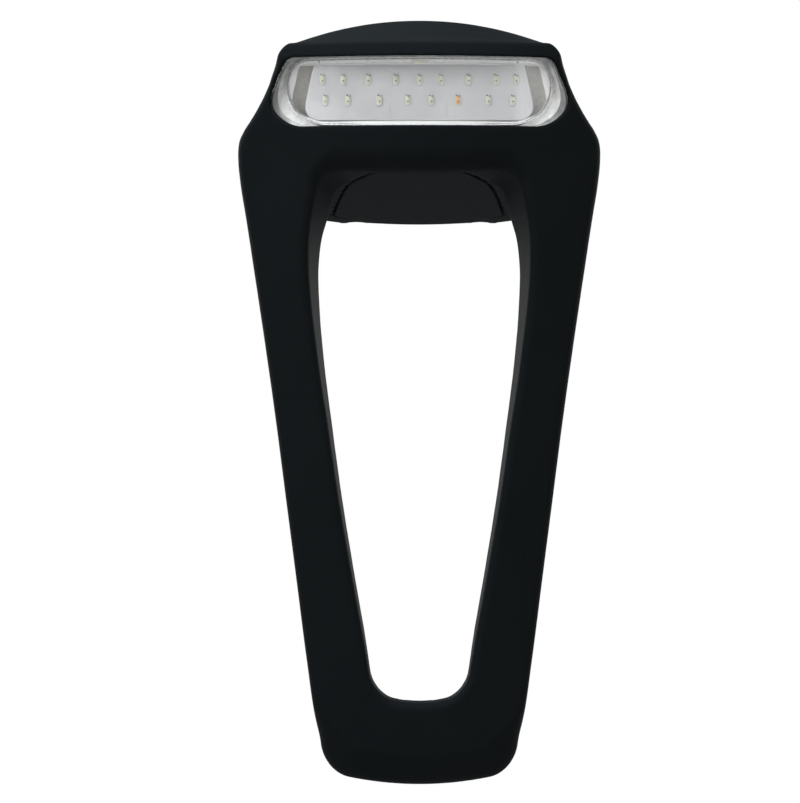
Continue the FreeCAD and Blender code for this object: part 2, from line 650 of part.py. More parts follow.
def make_button_key():
    """Hard key under the dome: an oval cap and a stem down to the switch."""
    stem_low = PLUNGER_TOP_Z + (BUTTON_TRAVEL - SWITCH_TRAVEL) + TOUCH_GAP
    cap_low = HOUSING_TOP_Z + BUTTON_TRAVEL + 0.15
    ellipse = Part.Ellipse(FreeCAD.Vector(0, 0, 0), KEY_CAP_WIDTH / 2.0, KEY_CAP_DEPTH / 2.0)
    cap = Part.Face(Part.Wire([ellipse.toShape()]))
    cap.translate(at(0, DOME_PEAK_DEPTH, cap_low))
    cap = cap.extrude(FreeCAD.Vector(0, 0, KEY_CAP_THICKNESS))
    stem = Part.makeCylinder(KEY_STEM / 2.0, cap_low - stem_low + 0.4, at(0, SWITCH_AXIS_DEPTH, stem_low),
                             FreeCAD.Vector(0, 0, 1))
    inside = head_core()
    inside.translate(FreeCAD.Vector(0, 0, -SKIN - FIT))
    return cap.fuse(stem).common(inside).removeSplitter()


def make_battery():
    cell = block(0, BATTERY_FRONT, BATTERY_LOW_Z, BATTERY_WIDTH, BATTERY_THICKNESS, BATTERY_HEIGHT)
    upright = [edge for edge in cell.Edges if abs(edge.tangentAt(edge.FirstParameter).z) > 0.9]
    return cell.makeFillet(BATTERY_THICKNESS * 0.3, upright)


def make_protection_board():
    return block(0, BATTERY_FRONT - PROTECTION_THICKNESS, BATTERY_TOP_Z - PROTECTION_HEIGHT - PROTECTION_DROP,
                 PROTECTION_WIDTH, PROTECTION_THICKNESS, PROTECTION_HEIGHT)


def make_lead(side):
    """Battery lead from the protection board's edge, out and back to the main board round a mitred bend."""
    z = MAIN_BOARD_TOP_Z - LEAD_DROP
    depth = BATTERY_FRONT - PROTECTION_THICKNESS / 2.0 - 0.25
    start_x = PROTECTION_WIDTH / 2.0
    end_x = start_x + LEAD_RUN
    points = [at(side * start_x, depth, z), at(side * (end_x - LEAD_BEND), depth, z),
              at(side * end_x, depth - LEAD_BEND, z), at(side * end_x, MAIN_BOARD_BACK, z)]
    return tube(points, LEAD_DIAMETER)


def make_foam():
    return block(0, BATTERY_BACK, BATTERY_LOW_Z + FOAM_INSET, BATTERY_WIDTH - 2.0 * FOAM_INSET, FOAM_THICKNESS,
                 BATTERY_HEIGHT - 2.0 * FOAM_INSET)


def socket_ring(inset, low, high):
    """Rounded slot of the socket's outline, moved in by inset."""
    half_width = SOCKET_WIDTH / 2.0 - inset
    half_depth = SOCKET_DEPTH / 2.0 - inset
    centre = MAIN_BOARD_BACK + SOCKET_DEPTH / 2.0
    corners = mirrored([(half_width, centre - half_depth, half_depth - 0.02),
                        (half_width, centre + half_depth, half_depth - 0.02)])
    return plan_prism(corners, low, high)


def make_socket():
    """Shell, tongue and contacts of the charging socket, its mouth facing down."""
    mouth_z = underside(MAIN_BOARD_BACK) + FLOOR_SKIN - 0.2
    top_z = mouth_z + SOCKET_LENGTH
    shell = socket_ring(0, mouth_z, top_z).cut(socket_ring(SOCKET_SHEET, mouth_z - 1.0, top_z - 1.2))
    centre = MAIN_BOARD_BACK + SOCKET_DEPTH / 2.0
    tongue = block(0, centre - SOCKET_TONGUE_THICKNESS / 2.0, mouth_z + 0.6, SOCKET_TONGUE_WIDTH,
                   SOCKET_TONGUE_THICKNESS, top_z - 1.2 - mouth_z - 0.6)
    contacts = []
    for index in range(CONTACT_COUNT):
        x = (index - (CONTACT_COUNT - 1) / 2.0) * CONTACT_PITCH
        for side in (1, -1):
            depth = centre + side * (SOCKET_TONGUE_THICKNESS / 2.0)
            contacts.append(block(x, depth - (0.05 if side < 0 else 0.0), mouth_z + 1.0, CONTACT_SIZE, 0.05, 3.4))
    return shell, tongue, Part.makeCompound(contacts)


def main():
    os.makedirs("parts", exist_ok=True)
    head = silicone_head()
    places = chip_places()
    indicator = (INDICATOR_X, LIGHT_BOARD_TOP_Z - CHIP_ROW_DROP - ROW_SPACING)
    socket_shell, socket_tongue, socket_contacts = make_socket()
    nodes = {
        "silicone_sleeve": make_sleeve(head),
        "strap_loop": make_strap(),
        "button_dome": make_button_dome(),
        "port_flap": make_port_flap(head),
        "lens": make_lens(),
        "lens_gasket": make_lens_gasket(),
        "front_housing": make_front_housing(),
        "rear_housing": make_rear_housing(),
        "housing_seal": make_housing_seal(),
        "side_reflectors": make_side_reflectors(),
        "light_board": make_light_board(),
        "light_chips": Part.makeCompound([light_chip(place) for place in places]),
        "charge_indicator_chip": light_chip(indicator),
        "main_board": make_main_board(),
        "controller_chip": on_main_board(*CONTROLLER_PLACE, CONTROLLER_SIZE, CONTROLLER_SIZE, CHIP_RISE),
        "charger_chip": on_main_board(*CHARGER_PLACE, CHARGER_WIDTH, CHARGER_WIDTH * 0.6, CHIP_RISE),
        "boost_inductor": make_inductor(),
        "chip_capacitors": make_capacitors(),
        "board_link_pins": make_link_pins(),
        "tact_switch_body": make_switch_body(),
        "tact_switch_plunger": make_switch_plunger(),
        "tact_switch_cover": make_switch_cover(),
        "button_key": make_button_key(),
        "battery_cell": make_battery(),
        "battery_protection_board": make_protection_board(),
        "battery_lead_red": make_lead(1),
        "battery_lead_black": make_lead(-1),
        "battery_foam_pad": make_foam(),
        "socket_shell": socket_shell,
        "socket_tongue": socket_tongue,
        "socket_contacts": socket_contacts,
    }
    for name, shape in nodes.items():
        shape.exportStep("parts/" + name + ".step")
        box = shape.optimalBoundingBox(True, False)
        print("%-26s solids %2d valid %s volume %9.2f box %7.2f %7.2f | %7.2f %7.2f | %7.2f %7.2f" % (
            name, len(shape.Solids), shape.isValid(), shape.Volume, box.XMin, box.XMax, box.YMin, box.YMax,
            box.ZMin, box.ZMax))
    print("strap hinge axis: y %.3f z %.3f" % (FRONT_Y + SWING_AXIS_DEPTH, SPLIT_Z))
    flap_axis_z = underside(FLAP_START) - UNDERSIDE_CROWN - HINGE_CLEARANCE
    print("flap hinge axis: y %.3f z %.3f" % (FRONT_Y + FLAP_START, flap_axis_z))


main()
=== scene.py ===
import bpy
import json
import math
import numpy as np
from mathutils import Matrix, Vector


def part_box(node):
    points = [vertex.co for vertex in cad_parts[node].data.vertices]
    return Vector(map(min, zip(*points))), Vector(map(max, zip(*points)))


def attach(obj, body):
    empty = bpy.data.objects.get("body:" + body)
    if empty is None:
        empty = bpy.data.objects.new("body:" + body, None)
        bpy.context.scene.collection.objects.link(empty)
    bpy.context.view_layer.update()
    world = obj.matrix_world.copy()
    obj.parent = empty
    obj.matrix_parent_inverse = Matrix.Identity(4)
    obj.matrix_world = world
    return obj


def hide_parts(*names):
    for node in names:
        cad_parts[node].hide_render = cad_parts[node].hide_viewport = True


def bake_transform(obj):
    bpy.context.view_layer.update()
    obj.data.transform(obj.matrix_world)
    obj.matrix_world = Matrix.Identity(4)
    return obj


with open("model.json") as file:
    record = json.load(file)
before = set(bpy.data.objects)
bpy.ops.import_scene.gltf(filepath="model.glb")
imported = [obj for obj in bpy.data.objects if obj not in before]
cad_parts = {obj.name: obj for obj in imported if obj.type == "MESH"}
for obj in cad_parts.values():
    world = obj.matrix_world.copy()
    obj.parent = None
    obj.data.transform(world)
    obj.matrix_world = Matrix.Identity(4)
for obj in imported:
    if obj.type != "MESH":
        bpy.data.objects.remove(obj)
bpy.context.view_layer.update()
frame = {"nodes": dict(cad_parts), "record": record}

# Strap-on bicycle light: silicone head and strap, clear lens, light board and what lies behind it.
# Shapes are worked out in millimetres as x to the right, depth back from the front face and z up,
# and go into the meshes in metres in the part's own frame.

MM = 0.001
FRONT_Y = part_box("silicone_sleeve")[0].y / MM
SPLIT_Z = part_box("strap_loop")[1].z / MM
STRAP_BOTTOM_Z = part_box("strap_loop")[0].z / MM
BAR_RADIUS = 11.1
BAR_DEPTH = -FRONT_Y
FRONT_RADIUS = 40.0

# Outer half width of head and strap, as (z, half width)
OUTER_EDGE = ((-66.95, 9.8), (-62.85, 10.0), (-60.6, 10.48), (-54.6, 11.37), (-46.6, 12.41), (-38.6, 13.46),
              (-30.6, 14.51), (-22.6, 15.66), (-14.6, 16.88), (-10.6, 17.5), (-6.6, 18.15), (-4.3, 18.38),
              (-3.2, 18.38), (-2.2, 18.2), (-1.2, 17.7), (-0.24, 17.05), (0.75, 16.44), (1.74, 15.89),
              (2.74, 15.41), (3.73, 15.0), (4.73, 14.67), (5.73, 14.4), (6.6, 14.2), (7.5, 14.05))
# Half width of the loop's opening at the front face and at the back, as (z, half width)
OPENING_FRONT = ((-60.0, 4.4), (-54.6, 5.25), (-46.6, 6.7), (-38.6, 8.1), (-30.6, 9.3), (-26.6, 9.95),
                 (-22.6, 10.5), (-18.6, 11.0), (-14.6, 11.3), (-11.6, 11.25), (-8.1, 10.75), (-6.4, 10.4),
                 (-5.0, 10.1))
OPENING_BACK = ((-60.0, 4.2), (-54.6, 4.96), (-46.6, 6.36), (-38.6, 7.68), (-30.6, 8.79), (-26.6, 9.31),
                (-22.6, 9.74), (-18.6, 10.03), (-14.6, 10.08), (-11.6, 9.65), (-10.5, 9.3), (-8.0, 8.6),
                (-5.0, 8.2))
# Length along the outer side per unit of height, which makes its field a distance
SIDE_STRETCH = 1.01
STRAP_THICK_TOP = 6.0
STRAP_THICK_LOW = 3.6
STRAP_END_Z = STRAP_BOTTOM_Z - 0.3
STRAP_END_CROWN = 0.62
STRAP_END_HALF = 6.9
STRAP_END_ROUND = 2.7
OPENING_LOW_Z = -58.6
OPENING_LOW_DRAFT = 0.4
OPENING_LOW_CROWN = 0.35
OPENING_LOW_HALF = 2.9
OPENING_LOW_ROUND = 2.0
EDGE_ROUND = 0.8
CHIN_ROUND = 1.9
BROW_ROUND = 0.28
COVE_ROUND = 1.8
ROOT_FILLET = 1.5
# Width of the bevel along the strap's end, as (z, width)
BEVEL_WIDTH = ((-67.0, 3.4), (-63.0, 2.7), (-61.0, 1.2), (-59.5, 0.0), (-58.0, -1.0))
BEVEL_SLOPE = 0.42

# Head

BROW_Z = 7.45
BROW_DROP = 0.06
BROW_HALF = 13.4
BROW_LEAN = 0.5
BROW_LEAN_SPAN = 1.6
# Rise of the dome over the brow, as (distance behind the bowed front, rise)
DOME_RISE = ((0.0, 0.0), (0.5, 0.0), (2.0, 1.2), (3.3, 2.15), (4.3, 2.34), (6.4, 2.4), (10.8, 2.1),
             (17.1, 1.2), (23.0, 0.2))
DOME_POWER = 2.1
TOP_ROUND = 0.5
CHEEK_ROUND = 0.9
CHEEK_START = 11.5
CHEEK_SPAN = 1.8
UNDERSIDE_Z = -5.0
UNDERSIDE_SLOPE = 0.2137
UNDERSIDE_CROWN = 0.78
UNDERSIDE_HALF = 11.0
UNDERSIDE_LIFT = 0.44
# Half width of the head behind its front slab at three heights, as (depth, half width)
CORE_TOP = ((0.0, 13.4), (6.4, 13.1), (10.8, 12.9), (17.1, 12.2), (24.0, 12.2))
CORE_WAIST = ((0.0, 14.9), (6.4, 15.5), (10.8, 14.6), (17.1, 12.2), (24.0, 12.2))
CORE_LOW = ((0.0, 15.0), (6.4, 14.6), (10.8, 13.0), (17.1, 12.2), (24.0, 12.2))
WAIST_Z = 1.0
CORE_ROUND = 1.2
LIP_DEPTH = 22.98
LIP_ROUND = 0.3
SEAT_START = 10.8
SEAT_Z = 7.67
SEAT_ROUND = 0.7
CUT_ROUND = 0.4
HOOK_HALF = 3.7
HOOK_DEPTH = 18.4
HOOK_FOOT_Z = 5.0
HOOK_LEAN = 0.9
HOOK_LEAN_DROP = 2.6
HOOK_LEAN_SPAN = 1.2
HOOK_TOP_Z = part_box("silicone_sleeve")[1].z / MM
HOOK_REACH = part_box("silicone_sleeve")[1].y / MM - FRONT_Y
HOOK_RISE = 0.5
HOOK_ROUND = 0.5
HOOK_TAIL_ROUND = 1.2
# Grip grooves of the saddle: step and reach are angles about the bar
GROOVE_STEP = 0.215
GROOVE_DEPTH = 0.45
GROOVE_HALF = 10.4
GROOVE_REACH = 0.76

# Window, cavity, button and flap: sides as (z, half width), CAVITY_PLAN and FLAP_EDGE as (depth, half width)

LENS_EDGE = ((-1.1, 14.6), (-0.2, 14.9), (0.6, 15.1), (1.4, 15.13), (2.4, 14.98), (3.2, 14.68), (4.0, 14.32),
             (4.8, 14.0), (5.9, 13.6))
LENS_TOP_Z = 5.87
LENS_LOW_Z = -1.08
SIDE_DRAFT = 0.04
TOP_DRAFT = 0.14
LENS_TOP_ROUND = 0.9
LENS_LOW_ROUND = 3.0
LENS_RECESS = 0.22
LENS_THICKNESS = 0.9
WINDOW_ROUND = 0.12
WINDOW_DEPTH = 8.0
CAVITY_EDGE = ((-12.0, 10.9), (-5.7, 12.5), (-1.1, 14.4), (2.0, 14.4), (6.5, 13.0))
CAVITY_PLAN = ((0.0, 15.7), (4.5, 15.6), (9.4, 12.6), (16.5, 10.9))
CAVITY_TOP_Z = 6.45
CAVITY_DEPTH = 16.45
CAVITY_FRONT = 2.0
CAVITY_ROUND = 1.2
FLOOR_SKIN = 2.5
BUTTON_HALF_WIDTH = 8.6
BUTTON_HALF_DEPTH = 2.9
BUTTON_DEPTH = 6.4
BUTTON_GAP = 0.12
BUTTON_ROUND = 0.12
SKIN = 1.25
FLAP_EDGE = ((2.0, 4.3), (2.45, 4.6), (3.65, 5.25), (5.0, 5.96), (6.5, 6.7), (9.25, 7.4), (16.7, 8.5),
             (20.8, 9.0))
FLAP_START = 2.4
FLAP_END = 20.4
FLAP_ROUND = 0.8
FLAP_GAP = 0.11
FLAP_THICKNESS = 1.4
HINGE_LAP = 0.35
HINGE_PROUD = 0.012
PORT_HALF_WIDTH = 5.17
PORT_HALF_DEPTH = 2.28
PORT_DEPTH = 7.88
BOSS_INSET = 0.35
BOSS_ROUND = 1.9

# Frame, bowls and light board seen through the lens

WINDOW_MIDDLE_Z = 2.4
WINDOW_REACH = (14.0, 3.3)
WINDOW_COUNT = 320
RIM_EDGE = ((-0.9, 11.4), (-0.5, 11.7), (0.04, 12.2), (0.45, 12.62), (1.26, 13.13), (2.27, 13.53),
            (3.38, 13.64), (4.29, 13.45), (5.0, 13.05), (5.8, 12.3))
RIM_ROUND = 0.9
# Loops of the frame from its outer foot over the crest inwards: growth of the rim's edge, top and low z,
# radius of the low corners, and the three depths that rim_depth takes
FRAME_LOOPS = ((0.12, 5.95, -1.0, 1.9, (1.6, 2.1, 1.75)),
               (0.0, 5.9, -0.92, 1.9, (1.27, 1.72, 1.35)),
               (-0.07, 5.8, -0.82, 1.8, (1.45, 2.0, 1.6)),
               (-0.13, 5.74, -0.76, 1.7, (1.75, 3.1, 2.05)),
               (-0.21, 5.66, -0.7, 1.7, (1.4, 2.5, 1.42)),
               (-0.3, 5.4, -0.5, 1.6, (1.55, 2.75, 1.9)))
# Channel outside the frame, as (share of the way from the lens's edge to the frame, depth below the bow)
TROUGH_BEHIND = 1.22
TROUGH_PROFILE = ((0.0, 0.0), (0.34, 0.05), (0.42, -0.05), (0.48, 0.12), (0.66, 0.4), (0.92, 0.7), (1.0, 0.6))
FOLD_EDGE = ((-0.6, 11.9), (0.04, 12.2), (0.6, 12.62), (1.3, 13.0), (2.3, 13.0), (3.8, 12.66), (5.34, 12.3),
             (5.8, 12.15))
PLATE_EDGE = ((-0.4, 11.85), (1.2, 11.7), (2.7, 11.42), (4.25, 11.08), (5.56, 10.75))
PLATE_TOP_Z = 5.62
PLATE_LOW_Z = -0.33
PLATE_DEPTH = 3.66
# Light board from its front face to its back, as (share of its outline, depth behind its front)
PLATE_PROFILE = ((0.2, 0.0), (0.6, 0.0), (0.9, 0.0), (0.978, 0.0), (0.986, 0.0), (0.995, 0.03), (1.0, 0.1),
                 (1.0, 0.7), (0.98, 0.8), (0.5, 0.8))
CHIP_TOP_Z = 3.84
CHIP_LOW_Z = 1.76
CHIP_DEPTH = 3.6
CHIP_HALVES = (0.3, 0.1, 0.64)
PHOSPHOR_HALVES = (0.22, 0.1, 0.46)
AMBER_HALVES = (0.25, 0.1, 0.46)
PHOSPHOR_SHIFT = (0.0, -0.06, -0.06)
MARK_HALVES = (0.09, 0.07, 0.08)
MARK_SHIFTS = ((-0.1, -0.15, 0.46), (0.14, -0.16, 0.38), (0.03, -0.2, -0.16))
END_MARKS = ((-10.25, 2.72, 5.5), (10.05, 2.67, 5.5))
SEAM_X = (-2.98, 2.83)
SEAM_Z = 0.78
SEAM_HALVES = (0.025, 0.02, 0.85)
TAB_PLACE = (0.05, 1.56, 5.4)
TAB_HALVES = (0.74, 0.14, 0.2)
TOP_ROW_X = (-9.95, -7.80, -5.24, -2.42, 0.02, 2.22, 5.03, 7.85, 9.93)
LOW_ROW_X = (-9.64, -7.31, -4.09, -1.20, 1.20, 7.06, 9.57)
INDICATOR_X = 3.93

# Grid steps: over the skin, over button and flap, and where the skin is thin beside the cavity

VOXEL = 0.33
FINE_VOXEL = 0.16
THIN_VOXEL = 0.17


# Shape functions

def curve_through(position, knots):
    """Cubic Hermite curve through (place, value) knots, each slope weighed from the spans beside it."""
    place, value = np.array(knots, float).T
    slope = np.gradient(value, place)
    span = np.clip(np.searchsorted(place, position) - 1, 0, len(place) - 2)
    width = place[span + 1] - place[span]
    t = np.clip((position - place[span]) / width, 0.0, 1.0)
    rise = value[span + 1] - value[span]
    return (value[span] + t * t * (3.0 - 2.0 * t) * rise
            + t * (1.0 - t) * width * ((1.0 - t) * slope[span] - t * slope[span + 1]))


def both(a, b, radius=0.0):
    """Field of what lies in both a and b, with a quarter circle of the given radius along their edge."""
    joined = np.minimum(-radius, np.maximum(a, b))
    return joined + np.hypot(np.maximum(radius + a, 0.0), np.maximum(radius + b, 0.0))


def either(a, b, radius=0.0):
    """Field of what lies in a or b, with a fillet of the given radius in the corner between them."""
    return -both(-a, -b, radius)


def bowed_front(x, depth):
    """Distance in front of the head's bowed face, a cylinder about an upright axis behind it."""
    return np.hypot(x, FRONT_RADIUS - depth) - FRONT_RADIUS


def floor_height(depth):
    """Height of the plane that the head's underside is built on, falling to the back."""
    return UNDERSIDE_Z - UNDERSIDE_SLOPE * depth


def underside(x, depth):
    """Height of the head's underside, falling to the back and bulging down between the arms."""
    crown = UNDERSIDE_CROWN * (1.0 - np.clip(x / UNDERSIDE_HALF, -1.0, 1.0) ** 2)
    return UNDERSIDE_Z + UNDERSIDE_LIFT - UNDERSIDE_SLOPE * depth - crown


def head_top(x, depth):
    """Height of the brow and the dome behind it: the brow's arc plus a rise that fades towards the cheeks."""
    brow = BROW_Z - BROW_DROP * (x / BROW_HALF) ** 2
    fade = 1.0 - np.clip(np.abs(x) / BROW_HALF, 0.0, 1.0) ** DOME_POWER
    return brow + curve_through(-bowed_front(x, depth), DOME_RISE) * fade


def core_half(depth, z):
    """Half width of the head behind its front slab: widest at the waist, parabolas above and below it."""
    top = curve_through(depth, CORE_TOP)
    waist = curve_through(depth, CORE_WAIST)
    low = curve_through(depth, CORE_LOW)
    above = np.clip((z - WAIST_Z) / (BROW_Z - WAIST_Z), 0.0, 1.2)
    below = np.clip((WAIST_Z - z) / (WAIST_Z - floor_height(depth)), 0.0, 1.2)
    upper = top + (waist - top) * (1.0 - above ** 2)
    lower = low + (waist - low) * (1.0 - below ** 2)
    return np.where(z > WAIST_Z, upper, lower)


def slab_back(x, depth, z):
    """Distance behind the back of the front slab and the strap, which thins towards the strap's end."""
    share = np.clip((z - SPLIT_Z) / (STRAP_BOTTOM_Z - SPLIT_Z), 0.0, 1.0)
    thickness = STRAP_THICK_TOP + (STRAP_THICK_LOW - STRAP_THICK_TOP) * share
    return FRONT_RADIUS - thickness - np.hypot(x, FRONT_RADIUS - depth)


def outline(x, z):
    """Distance outside the front outline: two curved sides, and a crowned lower end with round corners."""
    side = (np.abs(x) - curve_through(z, OUTER_EDGE)) / SIDE_STRETCH
    end = STRAP_END_Z + STRAP_END_CROWN * (x / STRAP_END_HALF) ** 2 - z
    return both(side, end, STRAP_END_ROUND)


def loop_opening(x, depth, z):
    """Field of the space inside the loop, drafted from a wide front to a narrower back, under the head."""
    bow = np.sqrt(FRONT_RADIUS ** 2 - np.clip(x, -20.0, 20.0) ** 2)
    share = (depth - FRONT_RADIUS + bow) / STRAP_THICK_TOP
    front = curve_through(z, OPENING_FRONT)
    back = curve_through(z, OPENING_BACK)
    side = np.abs(x) - front - (back - front) * np.clip(share, -0.3, 1.5)
    crown = OPENING_LOW_CROWN * (x / OPENING_LOW_HALF) ** 2
    low = OPENING_LOW_Z - OPENING_LOW_DRAFT * (1.0 - share) + crown - z
    inside = both(side, low, OPENING_LOW_ROUND)
    return both(inside, z - underside(x, depth), COVE_ROUND)


def end_bevel(x, depth, z):
    """Field above the bevel along the strap's end, which wraps a little way up each side."""
    width = curve_through(z, BEVEL_WIDTH)
    return (outline(x, z) + width) * BEVEL_SLOPE + bowed_front(x, depth)


def head_core(x, depth, z):
    """Field of the head behind the slab, with rounded lower edges and cut off at the back."""
    sides = np.abs(x) - core_half(depth, z)
    body = both(sides, underside(x, depth) - z, CORE_ROUND)
    return both(body, depth - LIP_DEPTH, LIP_ROUND)


def hook(x, depth, z):
    """Field of the lug behind the strap's seat, its nose leaning over the seat and its tail over the bar."""
    lift = np.clip((z - HOOK_TOP_Z + HOOK_LEAN_DROP) / HOOK_LEAN_SPAN, 0.0, 1.0)
    nose = HOOK_DEPTH - HOOK_LEAN * lift * lift * (3.0 - 2.0 * lift) - depth
    share = np.clip((depth - HOOK_DEPTH) / (HOOK_REACH - HOOK_DEPTH), -0.2, 1.0)
    roof = z - HOOK_TOP_Z + HOOK_RISE * (1.0 - share) ** 2
    tail = both(np.abs(x) - HOOK_HALF, depth - HOOK_REACH, HOOK_TAIL_ROUND)
    return both(both(nose, roof, HOOK_ROUND), tail, HOOK_ROUND)


def whole_form(x, depth, z):
    """Field of the silicone form before it is hollowed: slab and strap, core, seat, hook and saddle."""
    slab = both(outline(x, z), slab_back(x, depth, z), EDGE_ROUND)
    core = both(head_core(x, depth, z), SPLIT_Z - z)
    step = curve_through(z, OUTER_EDGE) - core_half(depth, z)
    body = either(slab, core, ROOT_FILLET * np.clip(step / 2.2, 0.03, 1.0))
    body = both(body, -loop_opening(x, depth, z), EDGE_ROUND)
    cheek = np.clip((np.abs(x) - CHEEK_START) / CHEEK_SPAN, 0.0, 1.0)
    body = both(body, z - head_top(x, depth), TOP_ROUND + CHEEK_ROUND * cheek)
    seat = both(SEAT_START - depth, SEAT_Z - z, SEAT_ROUND)
    body = both(body, -seat, CUT_ROUND)
    body = either(body, both(hook(x, depth, z), HOOK_FOOT_Z - z), HOOK_ROUND)
    return both(body, saddle(x, depth, z), CUT_ROUND)


def saddle(x, depth, z):
    """Field in front of the bar's seat: a cylinder about the bar, with shallow grip grooves along it."""
    turn = np.arctan2(z, BAR_DEPTH - depth)
    wave = np.clip(1.7 * np.cos(turn * 2.0 * math.pi / GROOVE_STEP) - 0.7, 0.0, 1.0)
    wave = wave * np.clip((GROOVE_HALF - np.abs(x)) / 0.4, 0.0, 1.0)
    wave = wave * np.clip((GROOVE_REACH - np.abs(turn)) / 0.03, 0.0, 1.0)
    return BAR_RADIUS + GROOVE_DEPTH * wave - np.hypot(depth - BAR_DEPTH, z)


def front_round(x, z):
    """Radius of the front edge: crisp at the brow, wide under the chin and even along the strap."""
    brow = np.clip((z - 5.5) / 1.0, 0.0, 1.0)
    chin = np.clip((z + 8.0) / 2.0, 0.0, 1.0) * np.clip((11.5 - np.abs(x)) / 3.0, 0.0, 1.0) * (1.0 - brow)
    return EDGE_ROUND + (CHIN_ROUND - EDGE_ROUND) * chin + (BROW_ROUND - EDGE_ROUND) * brow


def faced_form(x, depth, z):
    """The silicone form, cut by its bowed front, whose brow leans back, and by the strap end's bevel."""
    lean = BROW_LEAN * np.clip((z - LENS_TOP_Z) / BROW_LEAN_SPAN, 0.0, 1.3)
    front = np.maximum(bowed_front(x, depth - lean), end_bevel(x, depth, z))
    return both(whole_form(x, depth, z), front, front_round(x, z))


def lens_window(x, depth, z):
    """Field of the lens's window: a bowed trapezoid with wide lower corners, a little wider inwards."""
    behind = np.clip(-bowed_front(x, depth), 0.0, 2.4)
    side = np.abs(x) - SIDE_DRAFT * behind
    lowered = z - TOP_DRAFT * behind * (z > WINDOW_MIDDLE_Z)
    return edge_field(side, lowered, LENS_EDGE, LENS_TOP_Z, LENS_LOW_Z, LENS_TOP_ROUND, LENS_LOW_ROUND)


def cavity(x, depth, z):
    """Field of the space that the hard housing fills."""
    side = np.abs(x) - np.minimum(curve_through(z, CAVITY_EDGE), curve_through(depth, CAVITY_PLAN))
    levels = np.maximum(z - CAVITY_TOP_Z, floor_height(depth) + FLOOR_SKIN - z)
    ends = np.maximum(depth - CAVITY_DEPTH, bowed_front(x, depth) + CAVITY_FRONT)
    return both(both(side, levels, CAVITY_ROUND), ends, 0.5)


def button_column(x, depth, grow=0.0):
    """Field of the upright oval column of the button."""
    a = BUTTON_HALF_WIDTH + grow
    b = BUTTON_HALF_DEPTH + grow
    return (np.hypot(x / a, (depth - BUTTON_DEPTH) / b) - 1.0) * b


def flap_plan(x, depth, grow=0.0, lap=0.0):
    """Field of the flap's plan: an arch at the hinge that widens to a nearly straight rear edge."""
    side = np.abs(x) - curve_through(depth, FLAP_EDGE) - grow
    arch = both(side, FLAP_START - lap - depth, FLAP_ROUND)
    return both(arch, depth - FLAP_END - 0.3 * lap, 1.0)


def sleeve(x, depth, z):
    """Silicone skin and strap: the form, hollowed for the housing and cut for what sits in its openings."""
    body = faced_form(x, depth, z)
    body = both(body, -np.maximum(lens_window(x, depth, z), depth - WINDOW_DEPTH), WINDOW_ROUND)
    body = np.maximum(body, -cavity(x, depth, z))
    column = np.maximum(button_column(x, depth, BUTTON_GAP), CAVITY_TOP_Z - 0.2 - z)
    body = both(body, -column, BUTTON_ROUND)
    floor = floor_height(depth)
    pocket = np.maximum(flap_plan(x, depth, FLAP_GAP), z - floor - FLAP_THICKNESS - 0.1)
    body = both(body, -pocket, 0.08)
    port = both(np.abs(x) - PORT_HALF_WIDTH, np.abs(depth - PORT_DEPTH) - PORT_HALF_DEPTH, PORT_HALF_DEPTH)
    port = np.maximum(port, np.abs(z - floor) - FLOOR_SKIN - 0.3)
    return np.maximum(body, -port)


def button_skin(x, depth, z):
    """The dome's oval top over the key, one skin thick, its rim rounded."""
    top = z - head_top(x, depth)
    shell = both(top, -top - SKIN, 0.1)
    return both(shell, button_column(x, depth), BUTTON_ROUND)


def flap_form(x, depth, z):
    """The flap, its face flush with the underside, with a boss that plugs the socket's recess.

    Its front and rear edges lie over the skin by a hair, so that only its sides show a line.
    """
    floor = floor_height(depth)
    face = underside(x, depth) - HINGE_PROUD - z
    behind_front = np.clip((depth - FLAP_START) / 3.0, 0.0, 1.0)
    before_rear = np.clip((FLAP_END - 0.8 - depth) / 2.0, 0.0, 1.0)
    edge = 0.1 * behind_front * before_rear
    plate = both(both(face, z - floor - FLAP_THICKNESS, 0.1), flap_plan(x, depth, 0.0, HINGE_LAP), edge)
    boss_side = np.abs(x) - PORT_HALF_WIDTH + BOSS_INSET
    boss = both(boss_side, np.abs(depth - PORT_DEPTH) - PORT_HALF_DEPTH + BOSS_INSET, BOSS_ROUND)
    boss = both(boss, np.abs(z - floor - FLAP_THICKNESS) - 0.5, 0.15)
    return either(plate, boss, 0.1)


# Meshing

def grid_axis(*stops):
    """Coordinates through (place, step) stops: even steps from each place to the next."""
    parts = []
    for (start, step), (end, _) in zip(stops[:-1], stops[1:]):
        count = max(2, int(round((end - start) / step)))
        parts.append(np.linspace(start, end, count, endpoint=False))
    return np.concatenate(parts + [np.array([stops[-1][0]])])


